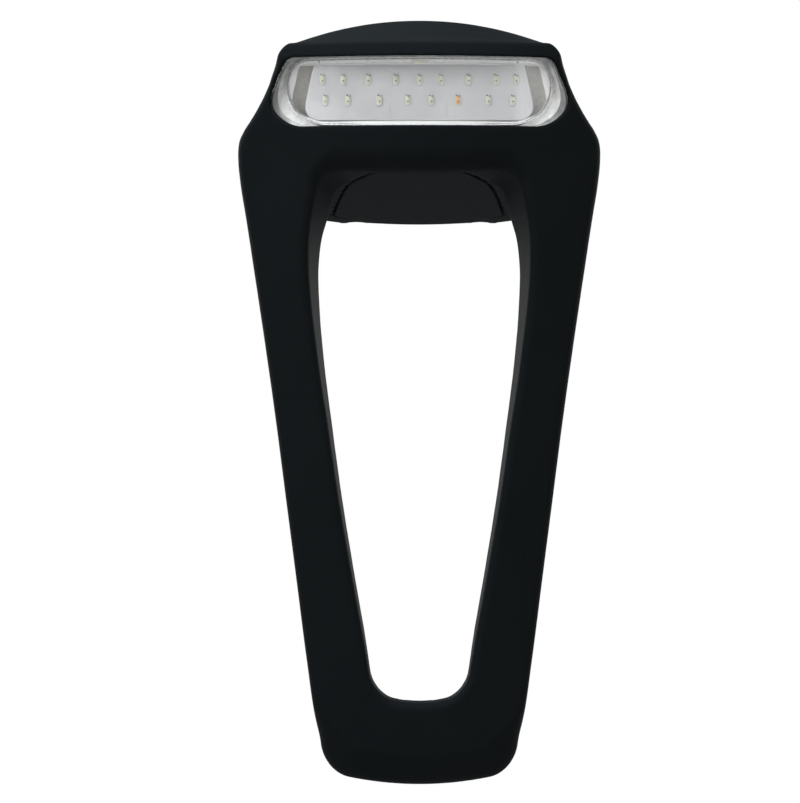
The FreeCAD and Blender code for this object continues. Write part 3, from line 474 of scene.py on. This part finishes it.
def cell_vertices(field, values, axes):
    """One point in each grid cell that the zero level crosses, the mean of the crossings on its edges."""
    shape = tuple(n - 1 for n in values.shape)
    total = np.zeros(shape + (3,))
    count = np.zeros(shape)
    for axis in range(3):
        low = np.take(values, range(values.shape[axis] - 1), axis)
        high = np.take(values, range(1, values.shape[axis]), axis)
        crossed = (low < 0) != (high < 0)
        share = np.where(crossed, low / np.where(crossed, low - high, 1.0), 0.0)
        point = []
        for other in range(3):
            along = axes[other]
            size = [1, 1, 1]
            if other == axis:
                size[other] = len(along) - 1
                start = along[:-1].reshape(size)
                step = np.diff(along).reshape(size)
                point.append(start + share * step)
            else:
                size[other] = len(along)
                point.append(np.broadcast_to(along.reshape(size), crossed.shape))
        point = np.stack(point, -1) * crossed[..., None]
        others = [a for a in range(3) if a != axis]
        for first in (0, 1):
            for second in (0, 1):
                piece = [slice(None)] * 3
                piece[others[0]] = slice(first, first + shape[others[0]])
                piece[others[1]] = slice(second, second + shape[others[1]])
                total += point[tuple(piece)]
                count += crossed[tuple(piece)]
    used = count > 0
    number = -np.ones(shape, int)
    number[used] = np.arange(used.sum())
    return total[used] / count[used][:, None], number


def cell_faces(values, number):
    """One quad round each inner grid edge that the zero level crosses, facing from negative to positive."""
    faces = []
    for axis in range(3):
        others = [a for a in range(3) if a != axis]
        inner = [slice(None)] * 3
        for other in others:
            inner[other] = slice(1, values.shape[other] - 1)
        low = [*inner]
        high = [*inner]
        low[axis] = slice(0, values.shape[axis] - 1)
        high[axis] = slice(1, values.shape[axis])
        inside_low = values[tuple(low)] < 0
        inside_high = values[tuple(high)] < 0
        corners = []
        for first, second in ((0, 0), (1, 0), (1, 1), (0, 1)):
            piece = [slice(None)] * 3
            piece[others[0]] = slice(first, first + inside_low.shape[others[0]])
            piece[others[1]] = slice(second, second + inside_low.shape[others[1]])
            corners.append(number[tuple(piece)])
        quads = np.stack(corners, -1)
        if axis == 1:
            quads = quads[..., ::-1]
        faces.append(quads[inside_low & ~inside_high])
        faces.append(quads[~inside_low & inside_high][:, ::-1])
    return np.concatenate(faces)


def settle(field, points, faces, rounds):
    """Evens the points out along the surface and moves each back onto the zero level by its gradient."""
    step = 0.02
    starts = faces.ravel()
    ends = np.roll(faces, -1, 1).ravel()
    weight = np.bincount(starts, minlength=len(points)) + np.bincount(ends, minlength=len(points))
    for _ in range(rounds):
        total = [np.bincount(starts, points[ends, a], len(points))
                 + np.bincount(ends, points[starts, a], len(points)) for a in range(3)]
        mean = np.stack(total, -1) / weight[:, None]
        points = points + 0.5 * (mean - points)
        for _ in range(2):
            x, d, z = points.T
            value = field(x, d, z)
            slope = np.stack([field(x + step, d, z) - field(x - step, d, z),
                              field(x, d + step, z) - field(x, d - step, z),
                              field(x, d, z + step) - field(x, d, z - step)], -1) / (2.0 * step)
            size = np.maximum((slope ** 2).sum(-1), 0.05)
            move = -slope * (value / size)[:, None]
            length = np.linalg.norm(move, axis=-1, keepdims=True)
            points = points + move * np.minimum(1.0, 0.25 / np.maximum(length, 1e-9))
    return points


def level_mesh(name, field, axes, rounds=3):
    """Closed quad mesh of a field's zero level, worked out on a rectangular grid."""
    x, d, z = np.meshgrid(*axes, indexing="ij", sparse=True)
    values = np.broadcast_to(field(x, d, z), tuple(len(a) for a in axes))
    points, number = cell_vertices(field, values, axes)
    faces = cell_faces(values, number)
    points = settle(field, points, faces, rounds)
    return new_piece(name, in_frame(points), faces.tolist())


def in_frame(points):
    """Points (x, depth, z) in millimetres as points of the part's frame in metres."""
    return (points + np.array((0.0, FRONT_Y, 0.0))) * MM


def add_object(name, data):
    """New object of the given data, linked to the scene."""
    made = bpy.data.objects.new(name, data)
    bpy.context.scene.collection.objects.link(made)
    return made


def new_piece(name, points, faces):
    """Smooth mesh object from an array of points and a list of faces."""
    mesh = bpy.data.meshes.new(name)
    mesh.from_pydata(points.tolist(), [], faces)
    mesh.polygons.foreach_set("use_smooth", np.full(len(mesh.polygons), True))
    mesh.update()
    return add_object(name, mesh)


def edge_field(x, z, edge, top_z, low_z, top_round, low_round):
    """Field of an outline in the front view: sides by knots, level top and bottom, rounded corners."""
    rounding = np.where(z > (top_z + low_z) / 2.0, top_round, low_round)
    return both(np.abs(x) - curve_through(z, edge), np.maximum(z - top_z, low_z - z), rounding)


def front_loop(edge, top_z, low_z, top_round, low_round, count=WINDOW_COUNT):
    """Closed outline in the front view, found by halving along rays from the window's middle."""
    angle = np.linspace(0.0, 2.0 * math.pi, count, endpoint=False)
    across = WINDOW_REACH[0] * np.cos(angle)
    up = WINDOW_REACH[1] * np.sin(angle)
    near = np.full(count, 0.3)
    far = np.full(count, 1.6)
    for _ in range(40):
        middle = (near + far) / 2.0
        outside = edge_field(middle * across, WINDOW_MIDDLE_Z + middle * up, edge, top_z, low_z, top_round,
                             low_round) > 0
        far = np.where(outside, middle, far)
        near = np.where(outside, near, middle)
    return near * across, WINDOW_MIDDLE_Z + near * up


def grown(edge, amount):
    """Knots of a side moved outwards."""
    return tuple((z, half + amount) for z, half in edge)


def bow_depth(x, behind=0.0):
    """Depth at x of a surface that follows the bowed front at a distance behind it."""
    radius = FRONT_RADIUS - behind
    return FRONT_RADIUS - np.sqrt(radius ** 2 - x ** 2)


def blend_depth(x, middle_depth, end_depth):
    """Depth that goes smoothly from the window's long middle to its two ends."""
    share = np.clip((np.abs(x) - 10.6) / 1.9, 0.0, 1.0)
    share = share * share * (3.0 - 2.0 * share)
    return middle_depth + (end_depth - middle_depth) * share


def rim_depth(loop, top_behind, low_middle, end_behind):
    """Depth of a frame loop: on the bow along the top and at the ends, straight along the foot."""
    x, z = loop
    low = blend_depth(x, low_middle, bow_depth(x, end_behind))
    share = np.clip((z - 3.6) / 1.8, 0.0, 1.0)
    return low + (bow_depth(x, top_behind) - low) * share


def loop_at(outline, depth):
    """Points of an outline (x, z) at their depth."""
    x, z = outline
    return np.stack((x, np.broadcast_to(depth, x.shape), z), -1)


def between(outer, inner, share):
    """Outline part of the way from one outline to another."""
    return outer[0] + (inner[0] - outer[0]) * share, outer[1] + (inner[1] - outer[1]) * share


def shrunk(outline, share):
    """Outline drawn in towards the window's middle."""
    x, z = outline
    return x * share, WINDOW_MIDDLE_Z + (z - WINDOW_MIDDLE_Z) * share


def ring_piece(name, loops, thickness):
    """Closed ring mesh: a band through the loops, and the same band further back, joined at both edges."""
    count = loops[0].shape[0]
    back = [loop + np.array((0.0, thickness, 0.0)) for loop in reversed(loops)]
    rings = loops + back
    points = np.concatenate(rings)
    index = np.arange(count)
    after = (index + 1) % count
    faces = []
    for ring in range(len(rings)):
        start = ring * count
        other = ((ring + 1) % len(rings)) * count
        faces.append(np.stack((index + start, after + start, after + other, index + other), -1))
    piece = new_piece(name, in_frame(points), np.concatenate(faces).tolist())
    piece.data.set_sharp_from_angle(angle=math.radians(40.0))
    return piece


def closed_rings(rings, name):
    """Mesh from rings of equally many points, joined in order, with a centre point at each end."""
    count = rings[0].shape[0]
    points = np.concatenate(rings + [rings[0].mean(0)[None], rings[-1].mean(0)[None]])
    index = np.arange(count)
    after = (index + 1) % count
    faces = []
    for ring in range(len(rings) - 1):
        start = ring * count
        other = start + count
        faces += np.stack((index + start, index + other, after + other, after + start), -1).tolist()
    first = len(rings) * count
    faces += np.stack((np.full(count, first), index, after), -1).tolist()
    last = (len(rings) - 1) * count
    faces += np.stack((np.full(count, first + 1), after + last, index + last), -1).tolist()
    return new_piece(name, points, faces)


def lens_loop(behind):
    """Outline of the lens at a distance behind the front: its rim sits in the silicone round the window."""
    return front_loop(grown(LENS_EDGE, SIDE_DRAFT * behind + 0.1), LENS_TOP_Z + TOP_DRAFT * behind + 0.15,
                      LENS_LOW_Z - 0.2, LENS_TOP_ROUND, LENS_LOW_ROUND)


def make_lens():
    """Clear lens: rings that shrink to the middle on the bowed front, a rounded rim, and the same behind."""
    front = lens_loop(LENS_RECESS)
    rear = lens_loop(LENS_RECESS + LENS_THICKNESS)
    rings = []
    shares = list(np.linspace(0.06, 0.975, 26))
    rim = [(0.984, 0.01), (0.992, 0.04), (0.998, 0.11), (1.0, 0.22), (1.0, LENS_THICKNESS - 0.15),
           (0.998, LENS_THICKNESS - 0.06), (0.992, LENS_THICKNESS - 0.02)]
    profile = [(s, 0.0) for s in shares] + rim + [(s, LENS_THICKNESS) for s in reversed(shares)]
    for share, back in profile:
        x, z = shrunk(between(front, rear, back / LENS_THICKNESS), share)
        rings.append(in_frame(loop_at((x, z), bow_depth(x, LENS_RECESS + back))))
    return closed_rings(rings[::-1], "clear_lens")


def make_plate():
    """Light board: a thin slab with a softly rounded front edge, wide lower corners and flat faces."""
    outer = front_loop(PLATE_EDGE, PLATE_TOP_Z, PLATE_LOW_Z, 0.5, 1.6)
    rings = []
    for share, depth in PLATE_PROFILE:
        rings.append(in_frame(loop_at(shrunk(outer, share), PLATE_DEPTH + depth)))
    return closed_rings(rings[::-1], "light_plate")


def make_window_frame():
    """White frame round the light board: a bead along the lens's edge, then a bevel back to the board."""
    loops = []
    for growth, top_z, low_z, low_round, depths in FRAME_LOOPS:
        loop = front_loop(grown(RIM_EDGE, growth), top_z, low_z, RIM_ROUND, low_round)
        loops.append(loop_at(loop, rim_depth(loop, *depths)))
    return ring_piece("window_frame", loops, 0.3)


def make_end_troughs():
    """Channel between the frame's bead and the lens's edge, wide at both ends and shallow between them;
    opaque, its pale blotchy tone is painted light for the bright streaks of the clear end wall.
    """
    outer = front_loop(grown(LENS_EDGE, 0.2), LENS_TOP_Z + 0.32, LENS_LOW_Z - 0.1, LENS_TOP_ROUND,
                       LENS_LOW_ROUND)
    foot = front_loop(grown(RIM_EDGE, 0.1), 5.94, -0.98, RIM_ROUND, 1.9)
    loops = []
    for share, sink in TROUGH_PROFILE:
        x, z = between(outer, foot, share)
        loops.append(loop_at((x, z), bow_depth(x, TROUGH_BEHIND) + blend_depth(x, 0.2 * sink, sink)))
    return ring_piece("end_trough", loops, 0.25)


def make_flare():
    """Flare of the reflector bowls, in the reflector's paler tone that paints its lit side: it falls gently
    from the bead to the fold.
    """
    rim = front_loop(grown(RIM_EDGE, -0.26), 5.57, -0.55, RIM_ROUND, 1.6)
    fold = front_loop(FOLD_EDGE, 5.6, -0.48, 0.8, 1.4)
    loops = []
    for share in (0.0, 0.35, 0.7, 1.0):
        x, z = between(rim, fold, share)
        end_depth = bow_depth(x, 2.1) * (1.0 - share) + 4.5 * share
        loops.append(loop_at((x, z), blend_depth(x, 2.95 + 0.5 * share, end_depth)))
    return ring_piece("reflector_flare", loops, 0.3)


def make_bowls():
    """Wall of the reflector bowls, in the reflector's darker tone that paints its shade: from the fold down
    and in to the light board's edge.
    """
    plate = front_loop(grown(PLATE_EDGE, 0.06), PLATE_TOP_Z + 0.05, PLATE_LOW_Z - 0.05, 0.6, 1.7)
    fold = front_loop(grown(FOLD_EDGE, -0.02), 5.61, -0.47, 0.8, 1.4)
    loops = []
    for share in (0.0, 0.1, 0.4, 0.75, 1.0):
        x, z = between(fold, plate, share)
        loops.append(loop_at((x, z), blend_depth(x, 3.55 + 0.8 * share, 4.5 + 0.9 * share)))
    return ring_piece("reflector_bowls", loops, 0.3)


def signed_power(value, power):
    """Power of the value's size, with the value's sign."""
    return np.sign(value) * np.abs(value) ** power


def soft_blocks(name, centres, halves, squareness, rows=9, columns=20):
    """Rounded blocks: superellipsoids, each coordinate its half size times powers of the cosine and sine."""
    up = np.linspace(-math.pi / 2.0, math.pi / 2.0, rows)[1:-1]
    turn = np.linspace(0.0, 2.0 * math.pi, columns, endpoint=False)
    level = signed_power(np.cos(up), squareness)[:, None]
    x = (level * signed_power(np.cos(turn), squareness)).ravel()
    z = (level * signed_power(np.sin(turn), squareness)).ravel()
    d = np.repeat(signed_power(np.sin(up), squareness), columns)
    unit = np.concatenate((np.stack((x, d, z), -1), ((0.0, -1.0, 0.0), (0.0, 1.0, 0.0))))
    index = np.arange(columns)
    after = (index + 1) % columns
    sides = [np.stack((index + r * columns, after + r * columns, after + (r + 1) * columns,
                       index + (r + 1) * columns), -1) for r in range(len(up) - 1)]
    first = len(up) * columns
    last = (len(up) - 1) * columns
    caps = [np.stack((np.full(columns, first), after, index), -1),
            np.stack((np.full(columns, first + 1), index + last, after + last), -1)]
    centres = np.array(centres, float)
    points = (centres[:, None, :] + unit[None] * np.array(halves)).reshape(-1, 3)
    offset = (np.arange(len(centres)) * len(unit))[:, None, None]
    faces = (np.concatenate(sides)[None] + offset).reshape(-1, 4).tolist()
    faces += (np.concatenate(caps)[None] + offset).reshape(-1, 3).tolist()
    return new_piece(name, in_frame(points), faces)


# Materials; the distance of a bump is in metres

BUMP_DISTANCE = 0.00003


def node_material(name, base, roughness, **sockets):
    """Principled material and its node tree, with plain values set on the shader's own sockets."""
    material = bpy.data.materials.new(name)
    material.use_nodes = True
    shader = material.node_tree.nodes["Principled BSDF"]
    shader.inputs["Base Color"].default_value = (*base, 1.0)
    shader.inputs["Roughness"].default_value = roughness
    for socket, value in sockets.items():
        shader.inputs[socket.replace("_", " ")].default_value = value
    return material, material.node_tree, shader


def noise(tree, scale, detail=3.0):
    """Noise texture on object coordinates, its scale in features per metre."""
    place = tree.nodes.new("ShaderNodeTexCoord")
    texture = tree.nodes.new("ShaderNodeTexNoise")
    texture.inputs["Scale"].default_value = scale
    texture.inputs["Detail"].default_value = detail
    tree.links.new(place.outputs["Object"], texture.inputs["Vector"])
    return texture.outputs["Fac"]


def ramp(tree, value, low, high, start=0.35, end=0.65):
    """Colour that goes from low to high as the value goes from start to end."""
    node = tree.nodes.new("ShaderNodeValToRGB")
    node.color_ramp.elements[0].position = start
    node.color_ramp.elements[1].position = end
    node.color_ramp.elements[0].color = (*low, 1.0)
    node.color_ramp.elements[1].color = (*high, 1.0)
    tree.links.new(value, node.inputs["Fac"])
    return node.outputs["Color"]


def spread(tree, value, low, high):
    """Value carried from 0..1 to low..high."""
    node = tree.nodes.new("ShaderNodeMapRange")
    node.inputs["To Min"].default_value = low
    node.inputs["To Max"].default_value = high
    tree.links.new(value, node.inputs["Value"])
    return node.outputs["Result"]


def seen_directly(tree):
    """Value that is one for rays from the camera and those that glass has let through, otherwise zero."""
    path = tree.nodes.new("ShaderNodeLightPath")
    seen = tree.nodes.new("ShaderNodeMath")
    seen.operation = "MAXIMUM"
    tree.links.new(path.outputs["Is Camera Ray"], seen.inputs[0])
    tree.links.new(path.outputs["Is Transmission Ray"], seen.inputs[1])
    return seen.outputs[0]


def link_mix(tree, share, first, second, output):
    """Leads a mix of two shaders to the output: the first where the share is zero, the second where one."""
    mix = tree.nodes.new("ShaderNodeMixShader")
    tree.links.new(share, mix.inputs["Fac"])
    tree.links.new(first, mix.inputs[1])
    tree.links.new(second, mix.inputs[2])
    tree.links.new(mix.outputs["Shader"], output.inputs["Surface"])


def add_bump(tree, shader, height, strength, distance):
    """Bump from a height value, its distance in metres."""
    bump = tree.nodes.new("ShaderNodeBump")
    bump.inputs["Strength"].default_value = strength
    bump.inputs["Distance"].default_value = distance
    tree.links.new(height, bump.inputs["Height"])
    tree.links.new(bump.outputs["Normal"], shader.inputs["Normal"])


def mottled(name, low, high, roughness, grain, bump, patch=120.0, **sockets):
    """Material whose colour wanders between two close tones, with a fine grain in roughness and bump."""
    material, tree, shader = node_material(name, low, sum(roughness) / 2.0, **sockets)
    tree.links.new(ramp(tree, noise(tree, patch), low, high), shader.inputs["Base Color"])
    fine = noise(tree, grain, 2.0)
    tree.links.new(spread(tree, fine, *roughness), shader.inputs["Roughness"])
    add_bump(tree, shader, fine, bump, BUMP_DISTANCE)
    return material


def clear_material():
    """Clear plastic: it refracts, and lets the studio's light through to the light board."""
    material, tree, shader = node_material("clear_plastic", (0.98, 0.985, 0.99), 0.03,
                                           Transmission_Weight=1.0, IOR=1.49)
    fine = noise(tree, 900.0, 2.0)
    tree.links.new(spread(tree, fine, 0.06, 0.11), shader.inputs["Roughness"])
    path = tree.nodes.new("ShaderNodeLightPath")
    clear = tree.nodes.new("ShaderNodeBsdfTransparent")
    link_mix(tree, path.outputs["Is Shadow Ray"], shader.outputs["BSDF"], clear.outputs["BSDF"],
             tree.nodes["Material Output"])
    return material


def make_materials():
    """Every finish of the light: those of the record's slots by their names, and a few for the window."""
    return {
        "silicone": mottled("matte_silicone", (0.0058, 0.0076, 0.0085), (0.0067, 0.0085, 0.0095),
                            (0.62, 0.76), 5200.0, 0.35, Specular_IOR_Level=0.05),
        "clear_lens": clear_material(),
        "gasket": mottled("seal_rubber", (0.3, 0.3, 0.3), (0.36, 0.36, 0.36), (0.5, 0.7), 3000.0, 0.2),
        "housing": mottled("housing_plastic", (0.8, 0.8, 0.79), (0.86, 0.86, 0.85), (0.35, 0.5), 4000.0, 0.2),
        # Reflector bowls' wall: partly the reflector's own beige tone, partly painted shade, the darker of
        # two painted tones of one reflector
        "reflector": mottled("reflector_painted_shade", (0.3, 0.29, 0.262), (0.37, 0.36, 0.33), (0.2, 0.35),
                             2500.0, 0.1),
        # Reflector flare: the same reflector in a paler tone, painted light for its lit side
        "flare": mottled("reflector_painted_lit_tone", (0.84, 0.83, 0.81), (0.9, 0.89, 0.87), (0.15, 0.3), 1500.0, 0.15),
        "seam_grey": mottled("seam_shadow", (0.4, 0.4, 0.41), (0.46, 0.46, 0.47), (0.4, 0.6), 3000.0, 0.1),
        "tab_cream": mottled("tab_plastic", (0.66, 0.65, 0.53), (0.72, 0.71, 0.6), (0.3, 0.45), 3000.0, 0.1),
        "white_board": mottled("white_solder_mask", (0.51, 0.51, 0.515), (0.57, 0.57, 0.575), (0.3, 0.42),
                               2500.0, 0.15, patch=300.0),
        "phosphor": mottled("phosphor_resin", (0.6, 0.6, 0.44), (0.67, 0.67, 0.53), (0.25, 0.4),
                            4000.0, 0.2, patch=2500.0),
        "amber_chip": mottled("amber_resin", (0.75, 0.42, 0.16), (0.8, 0.5, 0.24), (0.25, 0.4),
                              4000.0, 0.2, patch=2500.0),
        "green_board": mottled("green_solder_mask", (0.01, 0.09, 0.035), (0.02, 0.13, 0.05), (0.3, 0.45),
                               3000.0, 0.2),
        "chip_black": mottled("moulded_epoxy", (0.015, 0.015, 0.016), (0.025, 0.025, 0.027), (0.5, 0.7),
                              6000.0, 0.3),
        "ferrite": mottled("sintered_ferrite", (0.1, 0.1, 0.105), (0.15, 0.15, 0.155), (0.45, 0.65),
                           5000.0, 0.4),
        "capacitor": mottled("ceramic_body", (0.42, 0.3, 0.18), (0.5, 0.37, 0.23), (0.3, 0.45), 5000.0, 0.2),
        "gold_pin": mottled("gold_plate", (0.75, 0.55, 0.22), (0.83, 0.63, 0.28), (0.2, 0.35),
                            5000.0, 0.2, Metallic=1.0),
        "steel": mottled("steel_sheet", (0.5, 0.5, 0.51), (0.6, 0.6, 0.61), (0.25, 0.4),
                         3500.0, 0.2, Metallic=1.0),
        "switch_plastic": mottled("switch_plastic", (0.03, 0.03, 0.032), (0.045, 0.045, 0.048), (0.4, 0.6),
                                  5000.0, 0.2),
        "key_plastic": mottled("key_plastic", (0.6, 0.6, 0.59), (0.68, 0.68, 0.67), (0.4, 0.6), 4000.0, 0.2),
        "battery_foil": mottled("laminated_foil", (0.5, 0.52, 0.54), (0.6, 0.62, 0.64), (0.2, 0.4),
                                2500.0, 0.4, Metallic=0.8),
        "wire_red": mottled("red_insulation", (0.42, 0.015, 0.015), (0.5, 0.025, 0.025), (0.35, 0.5),
                            4000.0, 0.2),
        "wire_black": mottled("black_insulation", (0.012, 0.012, 0.012), (0.02, 0.02, 0.02), (0.35, 0.5),
                              4000.0, 0.2),
        "frame_white": mottled("white_frame", (0.8, 0.8, 0.79), (0.86, 0.86, 0.85), (0.2, 0.35), 2500.0, 0.1),
        # End trough: pale blotches are painted refraction streaks, and the pale base is painted light over
        # the shaded window ends
        "trough": mottled("end_wall_painted_streaks", (0.62, 0.62, 0.61), (0.92, 0.92, 0.9), (0.2, 0.4), 900.0, 0.3,
                          patch=900.0),
        "chip_white": mottled("chip_ceramic", (0.6, 0.6, 0.59), (0.64, 0.64, 0.62), (0.3, 0.45), 6000.0, 0.1),
        "chip_mark": mottled("chip_terminal", (0.1, 0.1, 0.09), (0.15, 0.15, 0.13), (0.3, 0.5), 6000.0, 0.1),
        "foam": mottled("closed_cell_foam", (0.13, 0.13, 0.14), (0.19, 0.19, 0.2), (0.8, 0.95), 3500.0, 0.8),
    }


def dress(piece, material):
    """Gives a new piece its material."""
    piece.data.materials.clear()
    piece.data.materials.append(material)


def dress_cad_nodes(materials):
    """Gives every carried-over node the material of its slot in the record."""
    for part in frame["record"]["subparts"]:
        node = frame["nodes"][part["node"]]
        node.data.materials.clear()
        node.data.materials.append(materials[part["material_slot"]])


# Pieces

def make_silicone(materials):
    """One continuous skin from the head down the strap."""
    axes = (grid_axis((-18.9, VOXEL), (-16.3, THIN_VOXEL), (-12.9, VOXEL), (12.9, THIN_VOXEL), (16.3, VOXEL),
                      (18.9, VOXEL)),
            grid_axis((-0.7, VOXEL), (-0.3, THIN_VOXEL), (3.4, VOXEL), (HOOK_REACH + 0.6, VOXEL)),
            grid_axis((STRAP_BOTTOM_Z - 0.7, VOXEL), (-56.0, 2.5 * VOXEL), (-14.0, VOXEL), (5.4, THIN_VOXEL),
                      (6.5, VOXEL), (HOOK_TOP_Z + 0.6, VOXEL)))
    skin = level_mesh("silicone_skin", sleeve, axes)
    dress(skin, materials["silicone"])
    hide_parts("silicone_sleeve", "strap_loop")
    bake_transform(skin)


def fine_axes(*spans):
    """Axes of a fine grid over (start, end) spans in x, depth and z."""
    return tuple(grid_axis((start, FINE_VOXEL), (end, FINE_VOXEL)) for start, end in spans)


def make_button(materials):
    """The dome's top over the key, which moves with the button."""
    button = level_mesh("button_top", button_skin, fine_axes((-9.0, 9.0), (3.2, 9.6), (7.0, 10.6)))
    dress(button, materials["silicone"])
    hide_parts("button_dome")
    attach(button, "button")


def make_flap(materials):
    """The flap over the charging socket, which turns on its hinge."""
    flap = level_mesh("charging_flap", flap_form, fine_axes((-9.2, 9.2), (1.7, 20.9), (-10.6, -3.6)))
    dress(flap, materials["silicone"])
    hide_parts("port_flap")
    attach(flap, "flap")


def fit_to_head(materials, rows):
    """Dresses (piece, finish, slot, node or None) rows; each piece rides on the head in its node's place."""
    for piece, finish, slot, node in rows:
        dress(piece, materials[finish])
        if node:
            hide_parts(node)
        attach(piece, "head")


def make_window(materials):
    """Lens, light board, bowls, flare, frame and troughs."""
    fit_to_head(materials, ((make_lens(), "clear_lens", "clear_lens", "lens"),
                            (make_plate(), "white_board", "white_board", "light_board"),
                            (make_bowls(), "reflector", "reflector", "side_reflectors"),
                            (make_flare(), "flare", "reflector", None),
                            (make_window_frame(), "frame_white", "housing", None),
                            (make_end_troughs(), "trough", "gasket", "lens_gasket")))


def make_chips(materials):
    """Light chips, white with a pale window and dark marks and one of them amber, and the board's details."""
    white = np.array([(x, CHIP_DEPTH, CHIP_TOP_Z) for x in TOP_ROW_X]
                     + [(x, CHIP_DEPTH, CHIP_LOW_Z) for x in LOW_ROW_X])
    amber = np.array([(INDICATOR_X, CHIP_DEPTH, CHIP_LOW_Z)])
    every = np.concatenate((white, amber))
    marks = np.concatenate([every + shift for shift in MARK_SHIFTS] + [END_MARKS])
    seams = [(x, PLATE_DEPTH, SEAM_Z) for x in SEAM_X]
    fit_to_head(materials, (
        (soft_blocks("chip_bodies", every, CHIP_HALVES, 0.55), "chip_white", "white_board", None),
        (soft_blocks("chip_windows", white + PHOSPHOR_SHIFT, PHOSPHOR_HALVES, 0.75), "phosphor", "phosphor",
         "light_chips"),
        (soft_blocks("amber_window", amber + PHOSPHOR_SHIFT, AMBER_HALVES, 0.75), "amber_chip", "amber_chip",
         "charge_indicator_chip"),
        (soft_blocks("chip_marks", marks, MARK_HALVES, 0.8, 5, 8), "chip_mark", "chip_black", None),
        (soft_blocks("plate_seams", seams, SEAM_HALVES, 0.5, 5, 8), "seam_grey", "white_board", None),
        (soft_blocks("plate_tab", [TAB_PLACE], TAB_HALVES, 0.4), "tab_cream", "white_board", None)))


# Studio; camera places in millimetres, lamp places in metres

CAMERA_DISTANCE = 350.0
CAMERA_X = -1.95
CAMERA_Z = -28.75
PICTURE_WIDTH = 80.0
PICTURE_ASPECT = 803.0 / 800.0
WHITE = (1.0, 1.0, 1.0)
COOL_WHITE = (0.85, 0.94, 1.0)
SURROUND_STRENGTH = 0.32
FLOOR_HALF = 3.0
FLOOR_DROP = 0.16
FLOOR_FADE = (0.26, 0.5)


def make_camera():
    """Camera straight in front of the loop's middle, its frame 80 mm wide at the front face."""
    data = bpy.data.cameras.new("camera")
    camera = add_object("camera", data)
    data.sensor_width = 36.0
    data.lens = data.sensor_width * CAMERA_DISTANCE / (PICTURE_WIDTH * PICTURE_ASPECT)
    camera.location = (CAMERA_X * MM, (FRONT_Y - CAMERA_DISTANCE) * MM, CAMERA_Z * MM)
    camera.rotation_euler = (math.radians(90.0), 0.0, 0.0)
    bpy.context.scene.camera = camera


def glow(tree, kind, strength):
    """White background or emission of the given strength."""
    node = tree.nodes.new(kind)
    node.inputs["Color"].default_value = (*WHITE, 1.0)
    node.inputs["Strength"].default_value = strength
    return node.outputs[0]


def white_surround(world):
    """Background that the camera and the glass see as white, and that lights the object more softly."""
    tree = world.node_tree
    tree.nodes.clear()
    white = glow(tree, "ShaderNodeBackground", 1.0)
    soft = glow(tree, "ShaderNodeBackground", SURROUND_STRENGTH)
    link_mix(tree, seen_directly(tree), soft, white, tree.nodes.new("ShaderNodeOutputWorld"))


def make_light(name, place, aim, size, power, colour=WHITE):
    """Rectangular lamp at a place, turned to its aim, its power in watts."""
    data = bpy.data.lights.new(name, "AREA")
    data.shape = "RECTANGLE"
    data.size = size[0]
    data.size_y = size[1]
    data.energy = power
    data.color = colour
    lamp = add_object(name, data)
    lamp.location = place
    along, back, up = np.array(aim) - np.array(place)
    tilt = math.atan2(math.hypot(along, back), -up)
    lamp.rotation_euler = (tilt, 0.0, math.atan2(back, along) - math.pi / 2)


def floor_material():
    """Pale floor that keeps the shadow near the object and goes to the backdrop's white further out."""
    material, tree, shader = node_material("pale_floor", (0.5, 0.5, 0.5), 0.7)
    tone = ramp(tree, noise(tree, 3.0), (0.49, 0.49, 0.49), (0.51, 0.51, 0.51))
    tree.links.new(tone, shader.inputs["Base Color"])
    place = tree.nodes.new("ShaderNodeTexCoord")
    length = tree.nodes.new("ShaderNodeVectorMath")
    length.operation = "LENGTH"
    tree.links.new(place.outputs["Object"], length.inputs[0])
    fade = tree.nodes.new("ShaderNodeMapRange")
    fade.interpolation_type = "SMOOTHSTEP"
    fade.inputs["From Min"].default_value = FLOOR_FADE[0]
    fade.inputs["From Max"].default_value = FLOOR_FADE[1]
    tree.links.new(length.outputs["Value"], fade.inputs["Value"])
    share = tree.nodes.new("ShaderNodeMath")
    share.operation = "MULTIPLY"
    tree.links.new(seen_directly(tree), share.inputs[0])
    tree.links.new(fade.outputs["Result"], share.inputs[1])
    white = glow(tree, "ShaderNodeEmission", 1.0)
    link_mix(tree, share.outputs[0], shader.outputs["BSDF"], white, tree.nodes["Material Output"])
    return material


def make_floor():
    """Pale floor well under the hanging strap."""
    half = FLOOR_HALF
    low = STRAP_BOTTOM_Z * MM - FLOOR_DROP
    mesh = bpy.data.meshes.new("floor")
    mesh.from_pydata([(-half, -half, low), (half, -half, low), (half, half, low), (-half, half, low)], [],
                     [(0, 1, 2, 3)])
    floor = add_object("floor", mesh)
    mesh.materials.append(floor_material())


def make_studio():
    """White surround, and lamps from the left, the right, above and behind."""
    world = bpy.data.worlds.new("studio")
    world.use_nodes = True
    bpy.context.scene.world = world
    white_surround(world)
    target = (0.0, FRONT_Y * MM, -0.028)
    make_light("key", (-0.46, -0.42, 0.24), target, (0.45, 0.28), 1.7)
    make_light("fill", (0.45, -0.4, 0.1), target, (0.4, 0.4), 0.6)
    make_light("top", (-0.06, -0.05, 0.3), (0.0, -0.01, 0.005), (0.22, 0.22), 1.35, COOL_WHITE)
    make_light("back_left", (-0.36, 0.44, 0.08), (0.0, 0.0, -0.02), (0.4, 0.4), 1.3)
    make_light("back_right", (0.36, 0.44, 0.08), (0.0, 0.0, -0.02), (0.4, 0.4), 1.3)
    bpy.context.scene.view_settings.view_transform = "Standard"


materials = make_materials()
dress_cad_nodes(materials)
make_silicone(materials)
make_button(materials)
make_flap(materials)
make_window(materials)
make_chips(materials)
make_floor()
make_studio()
make_camera()
